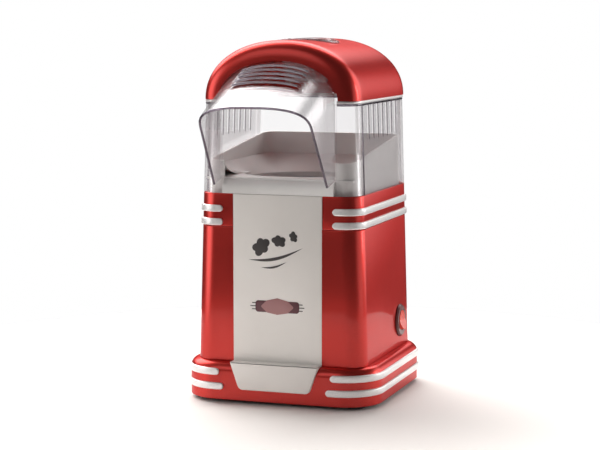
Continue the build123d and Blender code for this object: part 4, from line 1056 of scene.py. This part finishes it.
CUP_FLANGE = 28.0 * MM
CUP_TOP, CUP_FOOT = 23.5 * MM, 18.5 * MM
CUP_WALL = 1.6 * MM
FLANGE_TOP = cup_high.z - dome_high.z  # above the dome at the crown
FLANGE_THICK = 0.9 * MM
CUP_FOOT_Z = cup_low.z


def dome_top(x, over):
    """Height of the arch at a place across, plus a rise."""
    share = 1 - (abs(x) / (DOME_HALF + over)) ** ARCH_SHARPNESS
    return DOME_BASE + (DOME_RISE + over) * share ** (1 / ARCH_SHARPNESS)


cup_profile = [  # radius, height above the foot, and where it is given, height above the dome instead
    (0.0, CUP_WALL, None), (CUP_FOOT - CUP_WALL - 2 * MM, CUP_WALL, None),
    (CUP_FOOT - CUP_WALL, CUP_WALL + 2 * MM, None),
    (CUP_TOP - CUP_WALL - 0.4 * MM, 0, FLANGE_TOP - 1 * MM),
    (CUP_TOP - CUP_WALL + 0.3 * MM, 0, FLANGE_TOP), (CUP_FLANGE - 0.5 * MM, 0, FLANGE_TOP),
    (CUP_FLANGE, 0, FLANGE_TOP - 0.4 * MM), (CUP_FLANGE - 0.2 * MM, 0, FLANGE_TOP - FLANGE_THICK),
    (CUP_TOP + 0.2 * MM, 0, FLANGE_TOP - FLANGE_THICK), (CUP_TOP - 0.2 * MM, 0, FLANGE_TOP - 2.4 * MM),
    (CUP_FOOT, 1.5 * MM, None), (CUP_FOOT - 1.5 * MM, 0, None), (0.0, 0, None),
]
cup_vertices = []
CUP_SEGMENTS = 64
for step in range(CUP_SEGMENTS):
    angle = 2 * math.pi * step / CUP_SEGMENTS
    for radius, rise, over in cup_profile:
        x, y = radius * math.cos(angle), radius * math.sin(angle)
        z = CUP_FOOT_Z + rise if over is None else dome_top(x, over)
        cup_vertices.append(Vector((x, y, z)))
finish_with(
    piece("measuring_cup_shell", cup_vertices, grid_faces(CUP_SEGMENTS, len(cup_profile), True, False),
          "cup", replaced=["measuring_cup"], slot="smoked_clear"),
    CUP,
)

# ---------------------------------------------------------------- camera, floor, light

AZIMUTH, ELEVATION = math.radians(18.784), math.radians(6.565)
DISTANCE = 1557.44 * MM
TARGET = Vector((-5.91, 0, 140.91)) * MM
LENS = 109.12

camera_data = bpy.data.cameras.new("camera")
camera = bpy.data.objects.new("camera", camera_data)
bpy.context.scene.collection.objects.link(camera)
back = Vector((
    math.sin(AZIMUTH) * math.cos(ELEVATION),
    -math.cos(AZIMUTH) * math.cos(ELEVATION),
    math.sin(ELEVATION),
))
camera.location = TARGET + back * DISTANCE
camera.rotation_mode = "QUATERNION"
camera.rotation_quaternion = (-back).to_track_quat("-Z", "Y")
camera_data.sensor_width = 36.0
camera_data.lens = LENS
bpy.context.scene.camera = camera

FLOOR_RADIUS = 0.44
FLOOR_SIDES = 96
floor_mesh = bpy.data.meshes.new("floor")
floor_outline = []
for step in range(FLOOR_SIDES):
    angle = 2 * math.pi * step / FLOOR_SIDES
    floor_outline.append((FLOOR_RADIUS * math.cos(angle), FLOOR_RADIUS * math.sin(angle), 0))
floor_mesh.from_pydata(floor_outline, [], [tuple(range(FLOOR_SIDES))])
floor = bpy.data.objects.new("floor", floor_mesh)
bpy.context.scene.collection.objects.link(floor)
floor_paint = Paint("floor_paper", (0.93, 0.89, 0.86), 0.7)
floor_paint.vary_colour(floor_paint.noise(3.0), (0.92, 0.88, 0.85), (0.94, 0.90, 0.87))
finish_with(floor, floor_paint.material)


class Studio:
    """Surroundings: white behind the object, and soft bright patches that its gloss picks up."""

    def __init__(self, ambient):
        world = bpy.data.worlds.new("studio")
        bpy.context.scene.world = world
        world.use_nodes = True
        self.tree = world.node_tree
        self.direction = self.tree.nodes.new("ShaderNodeTexCoord").outputs["Generated"]
        self.background = self.tree.nodes["Background"]
        self.total = None
        self.ambient = ambient

    def patch(self, direction, wide, narrow, strength):
        """Bright patch that fades out between two angles from its middle, in degrees."""
        dot = self.tree.nodes.new("ShaderNodeVectorMath")
        dot.operation = "DOT_PRODUCT"
        dot.inputs[1].default_value = Vector(direction).normalized()
        self.tree.links.new(self.direction, dot.inputs[0])
        fade = self.tree.nodes.new("ShaderNodeMapRange")
        fade.interpolation_type = "SMOOTHSTEP"
        fade.inputs["From Min"].default_value = math.cos(math.radians(wide))
        fade.inputs["From Max"].default_value = math.cos(math.radians(narrow))
        fade.inputs["To Min"].default_value = 0.0
        fade.inputs["To Max"].default_value = strength
        self.tree.links.new(dot.outputs["Value"], fade.inputs["Value"])
        add = self.tree.nodes.new("ShaderNodeMath")
        add.operation = "ADD"
        add.inputs[1].default_value = self.ambient
        if self.total is not None:
            self.tree.links.new(self.total, add.inputs[1])
        self.tree.links.new(fade.outputs["Result"], add.inputs[0])
        self.total = add.outputs["Value"]

    def finish(self):
        """Plain white where the camera looks past the floor."""
        self.background.inputs["Color"].default_value = (1.0, 0.985, 0.97, 1)
        self.tree.links.new(self.total, self.background.inputs["Strength"])
        white = self.tree.nodes.new("ShaderNodeBackground")
        white.inputs["Color"].default_value = (1, 1, 1, 1)
        path = self.tree.nodes.new("ShaderNodeLightPath")
        mix = self.tree.nodes.new("ShaderNodeMixShader")
        self.tree.links.new(path.outputs["Is Camera Ray"], mix.inputs["Fac"])
        self.tree.links.new(self.background.outputs["Background"], mix.inputs[1])
        self.tree.links.new(white.outputs["Background"], mix.inputs[2])
        self.tree.links.new(mix.outputs["Shader"], self.tree.nodes["World Output"].inputs["Surface"])


def heading(turn, lift):
    """Direction from the object: degrees from straight in front, to the right, and above level."""
    turn, lift = math.radians(turn), math.radians(lift)
    return (math.sin(turn) * math.cos(lift), -math.cos(turn) * math.cos(lift), math.sin(lift))


studio = Studio(0.07)
studio.patch(heading(-63, 6), 27, 6, 3.0)
studio.patch(heading(-118, 40), 30, 8, 7.4)
studio.patch(heading(-166, 42), 30, 12, 5.0)
studio.patch(heading(142, 14), 28, 8, 2.9)
studio.patch(heading(100, 4), 30, 6, 1.0)
studio.patch(heading(-22, 34), 24, 8, 1.2)
studio.finish()


def softbox(name, place, aim, width, height, power):
    """Rectangular area light that looks at a point."""
    data = bpy.data.lights.new(name, "AREA")
    data.shape = "RECTANGLE"
    data.size, data.size_y = width, height
    data.energy = power
    lamp = bpy.data.objects.new(name, data)
    lamp.location = place
    lamp.rotation_mode = "QUATERNION"
    lamp.rotation_quaternion = (Vector(aim) - Vector(place)).to_track_quat("-Z", "Y")
    bpy.context.scene.collection.objects.link(lamp)


MIDDLE = (0, 0, 0.15)
softbox("side_fill", (1.5, 0.9, 0.5), MIDDLE, 0.5, 0.7, 5)

bpy.context.scene.view_settings.view_transform = "Standard"

# ---------------------------------------------------------------- CAD nodes that show

PLAIN = {
    "popcorn_chute": LINER, "popping_chamber": ALUMINIUM, "rubber_feet": RUBBER, "bottom_plate": BLACK,
    "chassis_plate": BLACK, "motor_bracket": BLACK, "fan_housing": BLACK, "fan_impeller": BLACK,
    "cord_gland": BLACK, "motor_end_cap": BLACK, "air_duct": GREY, "heater_frame": MICA,
    "heating_coil": STEEL, "motor_can": STEEL, "motor_shaft": STEEL, "motor_armature": STEEL,
    "case_screws": STEEL, "chassis_screws": STEEL, "motor_screws": STEEL, "thermostat": STEEL,
    "motor_magnets": FERRITE, "thermal_fuse": FUSE, "rectifier_board": BOARD, "internal_wires": SLEEVE,
    # the rocker's red carries a painted glow
    "switch_body": MAROON, "switch_rocker": PAINTED_GLOW_RED,
}
for node, material in PLAIN.items():
    finish_with(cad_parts[node], material)
